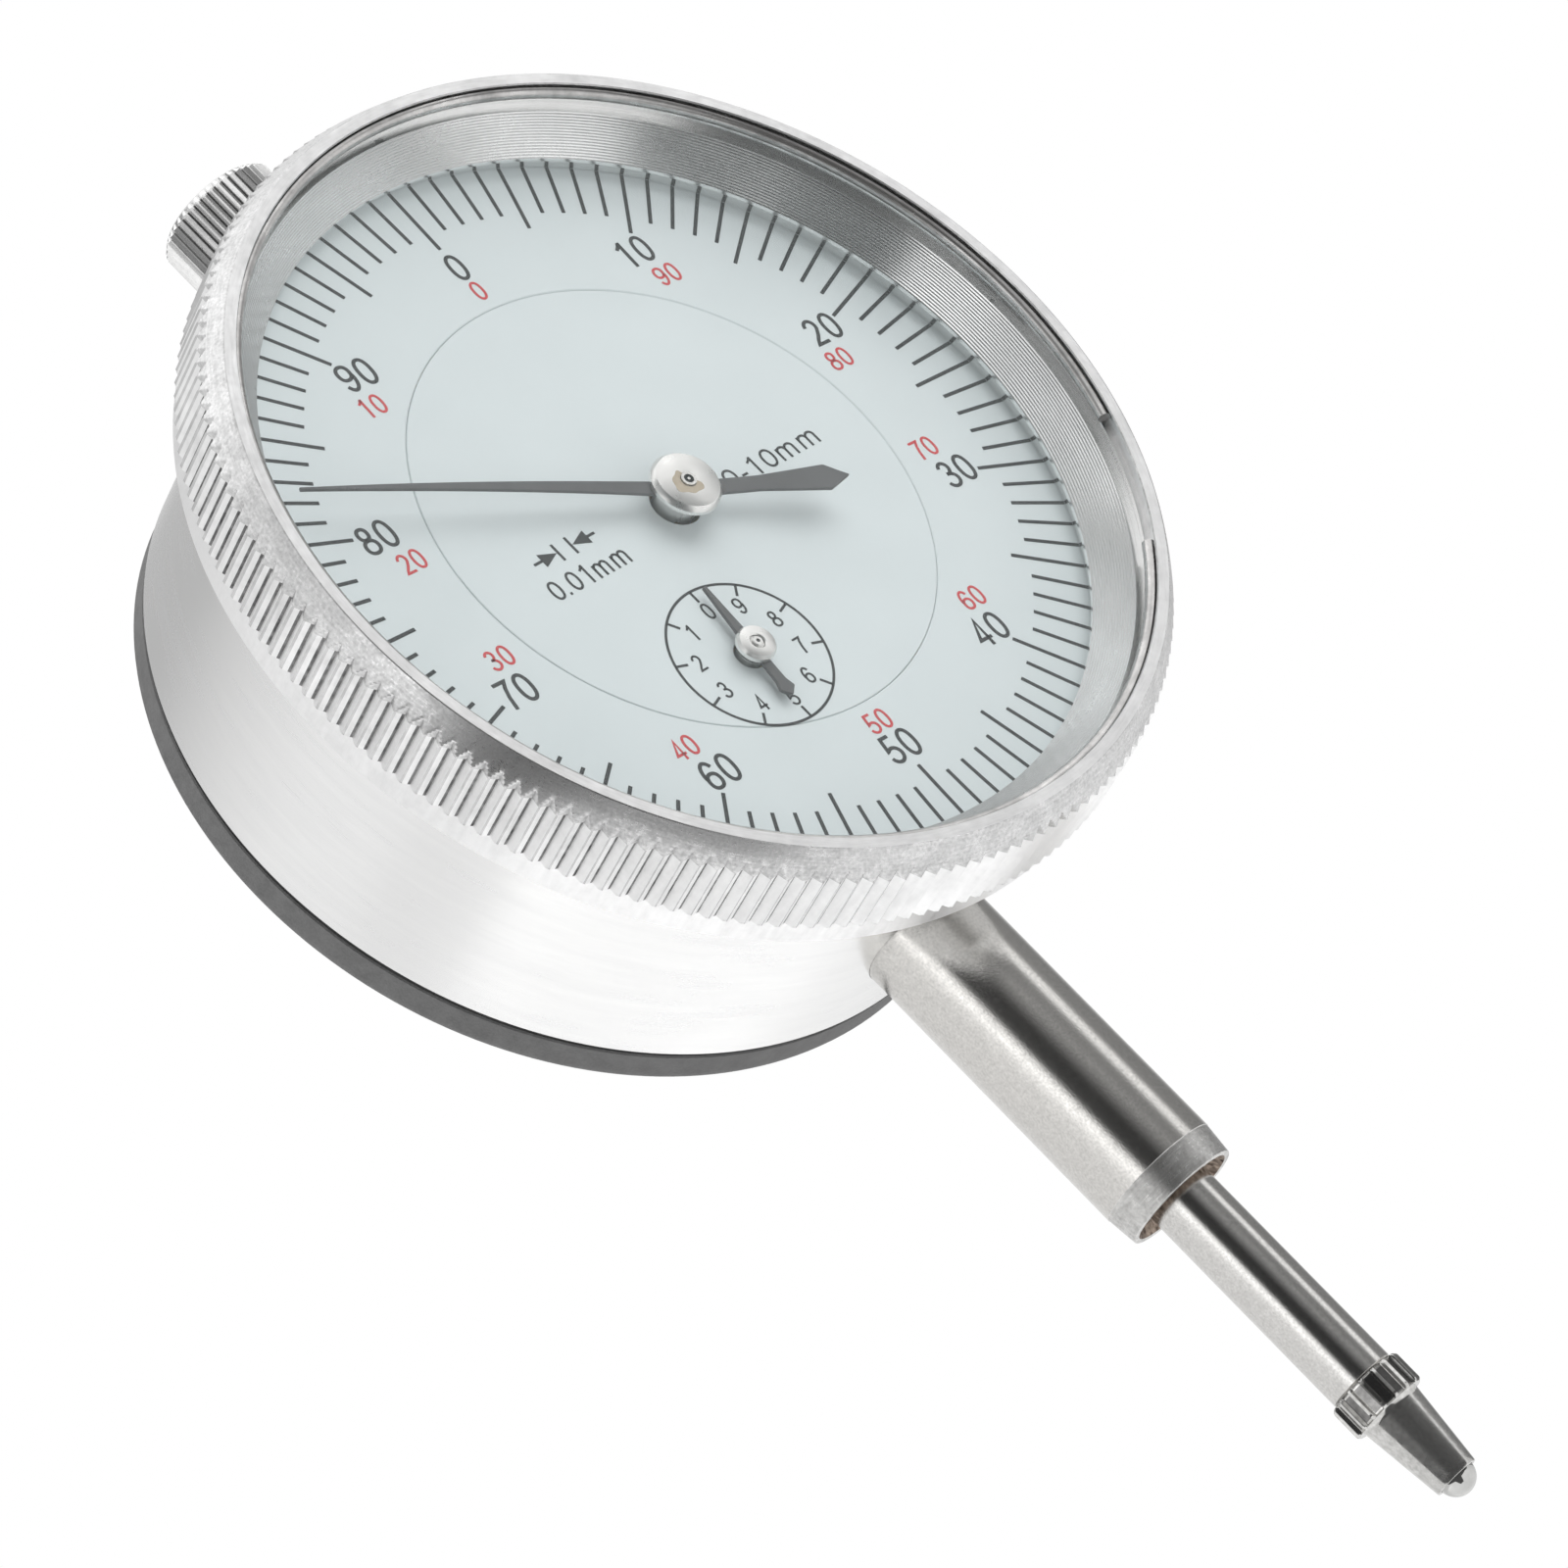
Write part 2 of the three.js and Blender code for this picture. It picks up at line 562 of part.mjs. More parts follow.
add(dialGroup, 'front_plate', buildFrontPlate(), 'brass');
add(dialGroup, 'rear_plate', buildRearPlate(), 'brass');
add(dialGroup, 'center_bridge', buildBridge(), 'brass');
PILLARS.forEach(([x, z], i) => {
  const tapped = PLATE_SCREW.depth + 0.3;
  const pillar = buildPillar(PLATE_BACK + NESTING_GAP, REAR_PLATE_FRONT - NESTING_GAP, tapped);
  add(dialGroup, `pillar_${i + 1}`, pillar, 'brass').position.set(x, 0, z);
  const headFrom = REAR_PLATE_BACK + NESTING_GAP;
  const headTo = headFrom + PLATE_SCREW.headDepth;
  const tip = REAR_PLATE_FRONT - PLATE_SCREW.depth;
  const screw = slottedScrew(PLATE_SCREW.head, headFrom, headTo, PLATE_SCREW.shank, tip);
  add(dialGroup, `pillar_screw_${i + 1}`, screw, 'steel').position.set(x, 0, z);
});
BRIDGE_PILLARS.forEach(([x, z], i) => {
  const post = buildPillar(PLATE_BACK + NESTING_GAP, BRIDGE_FRONT - NESTING_GAP, 2);
  add(dialGroup, `bridge_post_${i + 1}`, post, 'brass').position.set(x, 0, z);
  const headFrom = BRIDGE_BACK + NESTING_GAP;
  const headTo = headFrom + BRIDGE_SCREW.headDepth;
  const screw = slottedScrew(BRIDGE_SCREW.head, headFrom, headTo, BRIDGE_SCREW.shank, BRIDGE_SCREW.tip);
  add(dialGroup, `bridge_screw_${i + 1}`, screw, 'steel').position.set(x, 0, z);
});
flangeScrewPlaces().forEach(([x, z], i) => {
  const headFrom = PLATE_BACK + NESTING_GAP;
  const { head, headDepth, shank } = FLANGE_SCREWS;
  const screw = slottedScrew(head, headFrom, headFrom + headDepth, shank, CASE_FRONT + RUNNING_GAP);
  add(dialGroup, `plate_screw_${i + 1}`, screw, 'steel').position.set(x, 0, z);
});

// ---------- return spring ----------
class Helix extends THREE.Curve {
  constructor(radius, turns, low, high) {
    super();
    Object.assign(this, { radius, turns, low, high });
  }

  getPoint(t, target = new THREE.Vector3()) {
    const angle = 2 * Math.PI * this.turns * t;
    const height = this.low + (this.high - this.low) * t;
    return target.set(this.radius * Math.cos(angle), this.radius * Math.sin(angle), height);
  }
}

function roundSection(radius, sides) {
  const corners = [];
  for (let i = 0; i < sides; i += 1) {
    const angle = (i * 2 * Math.PI) / sides;
    corners.push([radius * Math.cos(angle), radius * Math.sin(angle)]);
  }
  return outlineOf(corners);
}

function wire(path, radius, sides, steps) {
  const settings = { steps, extrudePath: path, bevelEnabled: false };
  return solid(new THREE.ExtrudeGeometry(roundSection(radius, sides), settings));
}

const RETURN_SPRING = { coil: 0.8, wire: 0.14, turns: 11, low: 32.15, high: 45.65, depth: 5.6 };
const coil = new Helix(RETURN_SPRING.coil, RETURN_SPRING.turns, RETURN_SPRING.low, RETURN_SPRING.high);
const springWire = wire(coil, RETURN_SPRING.wire, 4, RETURN_SPRING.turns * 7);
add(indicator, 'return_spring', springWire, 'steel').position.y = RETURN_SPRING.depth;
const springPost = rodY(SPRING_POST.radius, REAR_PLATE_FRONT, SPRING_POST.to, TINY);
add(dialGroup, 'spring_post', springPost, 'steel').position.set(SPRING_POST.x, 0, SPRING_POST.z);

// ---------- gear train ----------
const TRANSFER_WHEEL = { front: -5.2, back: -4.6 };
const TAKE_UP_WHEEL = { front: -6.6, back: -6 };
const CENTRE_PINION = { front: -6.9, back: -4.3 };
const RACK_PINION = { front: -1.1, back: 1.1 };
const WHEEL_WINDOWS = { count: 4, radius: 2.7, circle: 5.4 };
const COLLET = { radius: 0.95, front: -5.7, back: -4.4 };
const PIVOT_FRONT = PLATE_FRONT + 0.5;
const BRIDGE_PIVOT_END = BRIDGE_BACK - 0.1;

function buildWheel(bore, start, { front, back }) {
  let wheel = plate(gearOutline(WHEEL_TEETH, WHEEL_MODULE, start, WHEEL_TOOTH), front, back);
  wheel = wheel.subtract(rodY(bore, front - CLEAR, back + CLEAR, SMALL));
  const window = rodY(WHEEL_WINDOWS.radius, front - CLEAR, back + CLEAR, SMALL);
  for (let i = 0; i < WHEEL_WINDOWS.count; i += 1) {
    const angle = (i * 2 * Math.PI) / WHEEL_WINDOWS.count;
    const { circle } = WHEEL_WINDOWS;
    wheel = wheel.subtract(window.translate([circle * Math.cos(angle), 0, circle * Math.sin(angle)]));
  }
  return wheel;
}

function buildPinionShaft() {
  const shaft = turnedY([
    [0, PIVOT_FRONT],
    [PIVOT, PIVOT_FRONT],
    [PIVOT, PLATE_BACK + 0.2],
    [ARBOR.transfer, PLATE_BACK + 0.2],
    [ARBOR.transfer, REAR_PLATE_FRONT - 0.2],
    [PIVOT, REAR_PLATE_FRONT - 0.2],
    [PIVOT, REAR_PLATE_BACK - 0.4],
    [0, REAR_PLATE_BACK - 0.4],
  ], SMALL);
  const pinion = gearOutline(RACK_PINION_TEETH, RACK_MODULE, 0, PINION_TOOTH);
  return shaft.add(plate(pinion, RACK_PINION.front, RACK_PINION.back));
}

function arborProfile(radius, front) {
  const shoulder = BRIDGE_FRONT - 0.15;
  return [[0, front], [radius, front], [radius, shoulder], [PIVOT, shoulder], [PIVOT, BRIDGE_PIVOT_END],
    [0, BRIDGE_PIVOT_END]];
}

const MAIN_HUB_FRONT = DIAL_FRONT - 2.15;
const SMALL_HUB_FRONT = DIAL_FRONT - 1.25;
const centrePinion = gearOutline(CENTRE_PINION_TEETH, WHEEL_MODULE, 0, PINION_TOOTH);
const centreArbor = turnedY(arborProfile(ARBOR.centre, MAIN_HUB_FRONT - 0.12), SMALL)
  .add(plate(centrePinion, CENTRE_PINION.front, CENTRE_PINION.back));
const transferWheel = buildWheel(ARBOR.transfer + NESTING_GAP, meshedStart(TRANSFER), TRANSFER_WHEEL);
const takeUpWheel = buildWheel(ARBOR.takeUp + NESTING_GAP, meshedStart(SUB_DIAL), TAKE_UP_WHEEL);

add(dialGroup, 'pinion_shaft', buildPinionShaft(), 'steel').position.set(TRANSFER.x, 0, TRANSFER.y);
add(dialGroup, 'transfer_gear', transferWheel, 'brass').position.set(TRANSFER.x, 0, TRANSFER.y);
add(dialGroup, 'center_arbor', centreArbor, 'steel');
add(dialGroup, 'takeup_gear', takeUpWheel, 'brass').position.set(SUB_DIAL.x, 0, SUB_DIAL.y);
const takeUpArbor = turnedY(arborProfile(ARBOR.takeUp, SMALL_HUB_FRONT + 0.12), SMALL);
add(dialGroup, 'takeup_arbor', takeUpArbor, 'steel').position.set(SUB_DIAL.x, 0, SUB_DIAL.y);
const colletRing = tubeProfile(ARBOR.takeUp + NESTING_GAP, COLLET.radius, COLLET.front, COLLET.back);
const collet = turnedY(colletRing, SMALL);
add(dialGroup, 'hairspring_collet', collet, 'brass').position.set(SUB_DIAL.x, 0, SUB_DIAL.y);

// A flat spiral strip from the collet out to the stud above it.
function buildHairspring() {
  const steps = HAIRSPRING.turns * 12;
  const sweep = 2 * Math.PI * HAIRSPRING.turns;
  const along = (offset) => {
    const side = [];
    for (let i = 0; i <= steps; i += 1) {
      const t = i / steps;
      const radius = HAIRSPRING.inner + (HAIRSPRING.outer - HAIRSPRING.inner) * t + offset;
      const angle = Math.PI / 2 + sweep * (t - 1);
      side.push([radius * Math.cos(angle), radius * Math.sin(angle)]);
    }
    return side;
  };
  const half = HAIRSPRING.thickness / 2;
  return plate(outlineOf([...along(half), ...along(-half).reverse()]), HAIRSPRING.front, HAIRSPRING.back);
}

add(dialGroup, 'hairspring', buildHairspring(), 'steel').position.set(SUB_DIAL.x, 0, SUB_DIAL.y);
const stud = rodY(STUD.radius, HAIRSPRING.front - 0.1, BRIDGE_BACK - 0.1, TINY);
add(dialGroup, 'hairspring_stud', stud, 'brass').position.set(STUD.x, 0, STUD.z);

// ---------- pointers ----------
const POINTER_ANGLE = (-64.1 * Math.PI) / 180; // clockwise from the top
const SMALL_POINTER_ANGLE = (6.6 * Math.PI) / 180;
const MAIN_SLEEVE = 1.35;
const SMALL_SLEEVE = 0.85;
const SLEEVE_END = -9.6;
const MAIN_HUB_RADIUS = 2.25;
const SMALL_HUB_RADIUS = 1.25;
const HUB_EDGE = 0.2;
const POINTER_BACK = DIAL_FRONT - 1.3;
const POINTER_THICKNESS = 0.2;
const POINTER_TIP = 25;
const LEVEL_HALF = 2.2; // the long pointer lies flat this far on each side of its axis
const POINTER_TAIL = 10.8;
const SMALL_POINTER_BACK = DIAL_FRONT - 0.5;

// Both arms of the long pointer rise outside the hub, and the long one levels off towards its tip.
function pointerLift(along) {
  const outside = Math.max(0, Math.abs(along) - LEVEL_HALF);
  return along > 0 ? 0.075 * outside - 0.0018 * outside ** 2 : 0.09 * outside;
}

function pointerOutline(halfWidths) {
  const right = halfWidths.map(([along, half]) => [half, along]);
  const left = halfWidths.map(([along, half]) => [-half, along]).reverse();
  return outlineOf([...right, ...left]);
}

// Half widths of each pointer at its stations along from the tail to the tip.
const LONG_BLADE = [[-POINTER_TAIL, 0.05], [-9.4, 0.95], [-5, 0.55], [-LEVEL_HALF, 0.55], [0, 0.6],
  [LEVEL_HALF, 0.5], [5, 0.44], [10, 0.36], [15, 0.28], [20, 0.2], [POINTER_TIP, 0.12]];
const SHORT_BLADE = [[-3.7, 0.1], [-3.2, 0.6], [-2.6, 0.38], [-1, 0.35], [0, 0.4], [1, 0.35], [4.8, 0.16]];

// A wide strip as thick as the pointer, bent along its length as the pointer is.
function bentStrip(stations, back, lift) {
  const lower = stations.map((along) => [along, back - lift(along)]);
  const upper = stations.map((along) => [along, back - POINTER_THICKNESS - lift(along)]).reverse();
  const width = 6;
  const settings = { depth: width, bevelEnabled: false };
  const strip = new THREE.ExtrudeGeometry(outlineOf([...lower, ...upper]), settings);
  const lying = new THREE.Matrix4().makeBasis(
    new THREE.Vector3(0, 0, 1),
    new THREE.Vector3(0, 1, 0),
    new THREE.Vector3(1, 0, 0),
  );
  return solid(strip.translate(0, 0, -width / 2).applyMatrix4(lying));
}

// A pointer along Z, with a ring that sits on its hub's sleeve.
function buildPointer(halfWidths, ringRadius, sleeve, back, lift) {
  const bore = sleeve + NESTING_GAP;
  const outline = plate(pointerOutline(halfWidths), back - 3, back + CLEAR);
  const blade = outline.intersect(bentStrip(halfWidths.map(([along]) => along), back, lift));
  const ring = rodY(ringRadius, back - POINTER_THICKNESS, back, HUB);
  return blade.add(ring).subtract(rodY(bore, back - CLEAR, back + CLEAR, HUB));
}

// A flat-topped hub with a narrower sleeve behind it, which carries the pointer.
function hub(radius, front, back, sleeveRadius, bore) {
  return turnedY([
    [bore, front],
    [radius - HUB_EDGE, front],
    [radius, front + HUB_EDGE],
    [radius, back],
    [sleeveRadius, back],
    [sleeveRadius, SLEEVE_END],
    [bore, SLEEVE_END],
  ], HUB);
}

const longPointer = buildPointer(LONG_BLADE, MAIN_HUB_RADIUS - 0.35, MAIN_SLEEVE, POINTER_BACK, pointerLift);
add(dialGroup, 'main_pointer', longPointer, 'pointer').rotation.y = POINTER_ANGLE;
const mainHubBack = POINTER_BACK - POINTER_THICKNESS - NESTING_GAP;
const mainBore = ARBOR.centre + NESTING_GAP;
const mainHub = hub(MAIN_HUB_RADIUS, MAIN_HUB_FRONT, mainHubBack, MAIN_SLEEVE, mainBore);
add(dialGroup, 'main_hub', mainHub, 'steel');
const shortRing = SMALL_HUB_RADIUS - 0.15;
const shortPointer = buildPointer(SHORT_BLADE, shortRing, SMALL_SLEEVE, SMALL_POINTER_BACK, () => 0);
const shortMesh = add(dialGroup, 'small_pointer', shortPointer, 'pointer');
shortMesh.position.set(SUB_DIAL.x, 0, SUB_DIAL.y);
shortMesh.rotation.y = SMALL_POINTER_ANGLE;
const smallHubBack = SMALL_POINTER_BACK - POINTER_THICKNESS - NESTING_GAP;
const smallBore = ARBOR.takeUp + NESTING_GAP;
const smallHub = hub(SMALL_HUB_RADIUS, SMALL_HUB_FRONT, smallHubBack, SMALL_SLEEVE, smallBore);
add(dialGroup, 'small_hub', smallHub, 'steel').position.set(SUB_DIAL.x, 0, SUB_DIAL.y);

// ---------- dial ----------
const INNER_DISC = 16.6;
const RING_INNER = 16.72;
const RING_OUTER = 27;

function buildInnerDial() {
  const rim = { inner: 14, outer: 15.5, back: PLATE_FRONT - 0.05 };
  const disc = turnedY([
    [0, DIAL_FRONT],
    [INNER_DISC, DIAL_FRONT],
    [INNER_DISC, DIAL_BACK],
    [rim.outer, DIAL_BACK],
    [rim.outer, rim.back],
    [rim.inner, rim.back],
    [rim.inner, DIAL_BACK],
    [0, DIAL_BACK],
  ], BIG);
  const mainHole = rodY(MAIN_SLEEVE + 0.3, DIAL_FRONT - CLEAR, DIAL_BACK + CLEAR, HUB);
  const smallHole = rodY(SMALL_SLEEVE + 0.2, DIAL_FRONT - CLEAR, DIAL_BACK + CLEAR, HUB)
    .translate([SUB_DIAL.x, 0, SUB_DIAL.y]);
  return disc.subtract(mainHole).subtract(smallHole);
}

add(dialGroup, 'inner_dial', buildInnerDial(), 'dial');

// ---------- bezel, which turns with the crystal and the dial ring ----------
const BEZEL_BORE = 27.08;
const SNAP_RING = { centre: 28.38, wire: 0.45, depth: -15.2, gapStart: 112, gapEnd: 132 };
const BEZEL_WIRE = { centre: 27, wire: 0.38, depth: -8.85, gapStart: 250, gapEnd: 262 };

const GRIP = { rear: -9.75, front: -14, step: 0.2, rearRadius: 29.8 };
const LIP = { outer: 29.3, inner: 28.7, bevel: 0.2 };
const CRYSTAL_SEAT = 28.5;
const CRYSTAL_RADIUS = 28.4;
const RING_GROOVE = 28.95;
const REFLECTOR = { outer: 27.95, inner: 26.05, front: CRYSTAL_BACK, back: -11.9, land: 0.25, foot: 26.5 };

function buildBezel() {
  const foot = DIAL_FRONT - 2 * NESTING_GAP;
  return turnedY([
    [BEZEL_BORE, BEZEL_REAR],
    [GRIP.rearRadius, BEZEL_REAR],
    [GRIP.rearRadius, GRIP.rear],
    [BEZEL_RADIUS, GRIP.rear - GRIP.step],
    [BEZEL_RADIUS, GRIP.front],
    [LIP.outer, LIP_FRONT],
    [LIP.inner, LIP_FRONT],
    [LIP.inner - LIP.bevel, LIP_FRONT + LIP.bevel],
    [RING_GROOVE, LIP_FRONT + LIP.bevel],
    [RING_GROOVE, CRYSTAL_FRONT],
    [CRYSTAL_SEAT, CRYSTAL_FRONT],
    [CRYSTAL_SEAT, CRYSTAL_BACK],
    [REFLECTOR.outer, REFLECTOR.front],
    [REFLECTOR.inner, REFLECTOR.back],
    [REFLECTOR.inner, REFLECTOR.back + REFLECTOR.land],
    [REFLECTOR.foot, foot],
    [BEZEL_BORE, foot],
    [BEZEL_BORE, WIRE_GROOVE.front],
    [WIRE_GROOVE.outer, WIRE_GROOVE.front],
    [WIRE_GROOVE.outer, WIRE_GROOVE.back],
    [BEZEL_BORE, WIRE_GROOVE.back],
  ], BIG);
}

// An open ring of round wire about the dial's axis. Angles run clockwise from the top, in degrees.
class RingPath extends THREE.Curve {
  constructor(radius, from, to) {
    super();
    Object.assign(this, { radius, from, to });
  }

  getPoint(t, target = new THREE.Vector3()) {
    const angle = THREE.MathUtils.degToRad(this.from + (this.to - this.from) * t);
    return target.set(this.radius * Math.sin(angle), 0, this.radius * Math.cos(angle));
  }
}

function splitRing({ centre, wire: wireRadius, depth, gapStart, gapEnd }) {
  const path = new RingPath(centre, gapEnd, gapStart + 360);
  return wire(path, wireRadius, 5, 32).translate([0, depth, 0]);
}

add(dialGroup, 'bezel', buildBezel(), 'aluminium');
const crystalDisc = rodProfile(CRYSTAL_RADIUS, CRYSTAL_FRONT + NESTING_GAP, CRYSTAL_BACK - NESTING_GAP);
add(dialGroup, 'crystal', turnedY(crystalDisc, BIG), 'crystal');
add(dialGroup, 'crystal_snap_ring', splitRing(SNAP_RING), 'nickel');
add(dialGroup, 'dial_ring', turnedY(tubeProfile(RING_INNER, RING_OUTER, DIAL_FRONT, DIAL_BACK), BIG), 'dial');
add(dialGroup, 'bezel_wire', splitRing(BEZEL_WIRE), 'steel');

export default indicator;
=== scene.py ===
"""The looks of a plunger dial indicator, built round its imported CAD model.

Lengths are in millimetres until a mesh is made, and then in metres. The dial faces -Y, the
spindle runs along Z, and angles round the dial run clockwise from the top.
"""

import json
import math

import bpy
import numpy as np
from mathutils import Matrix, Vector


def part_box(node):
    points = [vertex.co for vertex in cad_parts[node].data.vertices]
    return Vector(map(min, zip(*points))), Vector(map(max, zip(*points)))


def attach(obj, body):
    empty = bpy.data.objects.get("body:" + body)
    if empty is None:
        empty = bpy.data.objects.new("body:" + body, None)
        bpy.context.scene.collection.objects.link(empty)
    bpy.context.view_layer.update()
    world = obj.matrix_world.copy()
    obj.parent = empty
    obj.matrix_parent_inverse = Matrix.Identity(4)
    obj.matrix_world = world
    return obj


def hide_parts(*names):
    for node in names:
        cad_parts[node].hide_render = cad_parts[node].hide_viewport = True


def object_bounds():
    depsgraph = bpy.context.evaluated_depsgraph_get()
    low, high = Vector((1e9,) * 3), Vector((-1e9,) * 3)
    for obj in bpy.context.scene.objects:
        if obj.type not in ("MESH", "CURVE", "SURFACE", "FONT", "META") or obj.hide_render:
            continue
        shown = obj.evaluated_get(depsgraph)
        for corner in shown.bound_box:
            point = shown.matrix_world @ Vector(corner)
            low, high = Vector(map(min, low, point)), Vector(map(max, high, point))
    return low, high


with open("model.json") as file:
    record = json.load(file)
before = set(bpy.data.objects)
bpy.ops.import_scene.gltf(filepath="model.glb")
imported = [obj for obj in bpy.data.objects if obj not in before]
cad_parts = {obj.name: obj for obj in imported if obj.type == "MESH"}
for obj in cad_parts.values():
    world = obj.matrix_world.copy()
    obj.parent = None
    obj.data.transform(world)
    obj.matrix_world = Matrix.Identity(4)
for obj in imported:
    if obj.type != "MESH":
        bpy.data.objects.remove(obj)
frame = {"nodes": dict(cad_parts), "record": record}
cad_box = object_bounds()
MM = 0.001


# ---------- sizes, from the frame ----------
def box_mm(node):
    low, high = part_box(node)
    return [value / MM for value in low], [value / MM for value in high]


def radius_of(node):
    low, high = box_mm(node)
    return (high[0] - low[0]) / 2


bezel_low, bezel_high = box_mm("bezel")
case_low, case_high = box_mm("case")
cover_low, cover_high = box_mm("back_cover")
gasket_low, gasket_high = box_mm("cover_gasket")
ring_low, ring_high = box_mm("dial_ring")
crystal_low, crystal_high = box_mm("crystal")
wire_low, wire_high = box_mm("crystal_snap_ring")
stem_low, stem_high = box_mm("stem")
spindle_low, spindle_high = box_mm("spindle")
ball_low, ball_high = box_mm("contact_ball")
cap_low, cap_high = box_mm("top_cap")
main_hub_low, main_hub_high = box_mm("main_hub")
small_hub_low, small_hub_high = box_mm("small_hub")

DIAL_Z = (bezel_low[2] + bezel_high[2]) / 2
DIAL_FRONT = ring_low[1]
DIAL_BACK = ring_high[1]
LIP_FRONT = bezel_low[1]
BEZEL_REAR = bezel_high[1]
CREST = radius_of("bezel")
CASE_RADIUS = radius_of("case")
STEM_RADIUS = radius_of("stem")
SPINDLE_RADIUS = radius_of("spindle")
SMALL_X = (small_hub_low[0] + small_hub_high[0]) / 2
SMALL_Z = (small_hub_low[2] + small_hub_high[2]) / 2

DIAL_AXIS = (0, DIAL_Z)
SMALL_AXIS = (SMALL_X, SMALL_Z)
RING_TURN = math.radians(2.5)  # how far the bezel and its dial ring are turned at rest


# ---------- shader helpers ----------
def put(tree, socket, value):
    if isinstance(value, bpy.types.NodeSocket):
        tree.links.new(value, socket)
    else:
        socket.default_value = value


def shader(tree, kind, inputs=None, **settings):
    node = tree.nodes.new(kind)
    for name, value in settings.items():
        setattr(node, name, value)
    for name, value in (inputs or {}).items():
        put(tree, node.inputs[name], value)
    return node


def maths(tree, operation, first, second=0.0):
    return shader(tree, "ShaderNodeMath", {0: first, 1: second}, operation=operation).outputs[0]


def weighted(tree, first, second, share):
    """The sum of two values, with the given share for the second and the rest for the first."""
    first_part = maths(tree, "MULTIPLY", first, 1 - share)
    return maths(tree, "ADD", first_part, maths(tree, "MULTIPLY", second, share))


def mapped(tree, value, low, high, start=0.3, end=0.7):
    inputs = {"Value": value, "From Min": start, "From Max": end, "To Min": low, "To Max": high}
    return shader(tree, "ShaderNodeMapRange", inputs).outputs["Result"]


def grey(level):
    return (level, level, level)


def blended(tree, factor, first, second):
    node = shader(tree, "ShaderNodeMix", data_type="RGBA")
    put(tree, node.inputs[0], factor)
    put(tree, node.inputs[6], (*first, 1))
    put(tree, node.inputs[7], (*second, 1))
    return node.outputs[2]


def place(tree):
    return shader(tree, "ShaderNodeTexCoord").outputs["Object"]


def noise(tree, vector, scale, detail=3.0, roughness=0.55):
    inputs = {"Vector": vector, "Scale": scale, "Detail": detail, "Roughness": roughness}
    return shader(tree, "ShaderNodeTexNoise", inputs).outputs["Fac"]


def round_lines(tree, axis, centre, along, radial, round_scale):
    """A place in which noise stretches round an axis. along and radial count cycles per mm."""
    split = shader(tree, "ShaderNodeSeparateXYZ", {0: place(tree)})
    across = {"Y": ("X", "Z"), "Z": ("X", "Y")}[axis]
    first = maths(tree, "SUBTRACT", split.outputs[across[0]], centre[0] * MM)
    second = maths(tree, "SUBTRACT", split.outputs[across[1]], centre[1] * MM)
    radius = maths(tree, "SQRT", maths(tree, "ADD", maths(tree, "MULTIPLY", first, first),
                                       maths(tree, "MULTIPLY", second, second)))
    radius = maths(tree, "MAXIMUM", radius, 1e-6)
    lengthwise = maths(tree, "ADD", maths(tree, "MULTIPLY", split.outputs[axis], along / MM),
                       maths(tree, "MULTIPLY", radius, radial / MM))
    turn_a = maths(tree, "MULTIPLY", maths(tree, "DIVIDE", first, radius), round_scale)
    turn_b = maths(tree, "MULTIPLY", maths(tree, "DIVIDE", second, radius), round_scale)
    return shader(tree, "ShaderNodeCombineXYZ", {0: lengthwise, 1: turn_a, 2: turn_b}).outputs[0]


def new_material(name):
    material = bpy.data.materials.new(name)
    material.use_nodes = True
    tree = material.node_tree
    surface = tree.nodes["Principled BSDF"]
    return material, tree, surface


def bumped(tree, surface, height, depth_mm, strength=1.0):
    inputs = {"Height": height, "Strength": strength, "Distance": depth_mm * MM}
    put(tree, surface.inputs["Normal"], shader(tree, "ShaderNodeBump", inputs).outputs["Normal"])


def metal(name, light, dark, roughness, lines, depth, mottle=0.35, grain=2.0, speck=0.2):
    """Bare metal with tool lines. lines makes the coordinates of the lines from the tree."""
    material, tree, surface = new_material(name)
    surface.inputs["Metallic"].default_value = 1.0
    streaks = noise(tree, lines(tree), 1.0, 4.0, 0.6)
    clouds = noise(tree, place(tree), mottle / MM, 4.0, 0.6)
    specks = noise(tree, place(tree), grain / MM, 2.0)
    streaks_and_clouds = maths(tree, "MULTIPLY", maths(tree, "ADD", streaks, clouds), 0.5)
    mixed = weighted(tree, streaks_and_clouds, specks, speck)
    put(tree, surface.inputs["Base Color"], blended(tree, mapped(tree, mixed, 0, 1, 0.36, 0.64), dark, light))
    rougher, smoother = roughness * 1.3, roughness * 0.75
    put(tree, surface.inputs["Roughness"], mapped(tree, mixed, rougher, smoother, 0.35, 0.65))
    bumped(tree, surface, weighted(tree, streaks, specks, speck), depth)
    return material


def painted(name, light, dark, roughness, scale, depth, speckle=0.0):
    material, tree, surface = new_material(name)
    clouds = noise(tree, place(tree), scale / MM, 5.0, 0.6)
    fine = noise(tree, place(tree), 6.0 / MM, 2.0)
    mixed = weighted(tree, clouds, fine, speckle)
    put(tree, surface.inputs["Base Color"], blended(tree, mapped(tree, mixed, 0, 1), dark, light))
    put(tree, surface.inputs["Roughness"], mapped(tree, fine, roughness * 0.9, roughness * 1.12))
    bumped(tree, surface, fine, depth)
    return material


# ---------- materials ----------
def dial_lines(along, radial, round_scale):
    return lambda tree: round_lines(tree, "Y", DIAL_AXIS, along, radial, round_scale)


def stem_lines(along, round_scale):
    return lambda tree: round_lines(tree, "Z", (0, 0), along, 0.0, round_scale)


def plain_grain(tree):
    return shader(tree, "ShaderNodeVectorMath", {0: place(tree), 1: (900, 900, 900)},
                  operation="MULTIPLY").outputs[0]


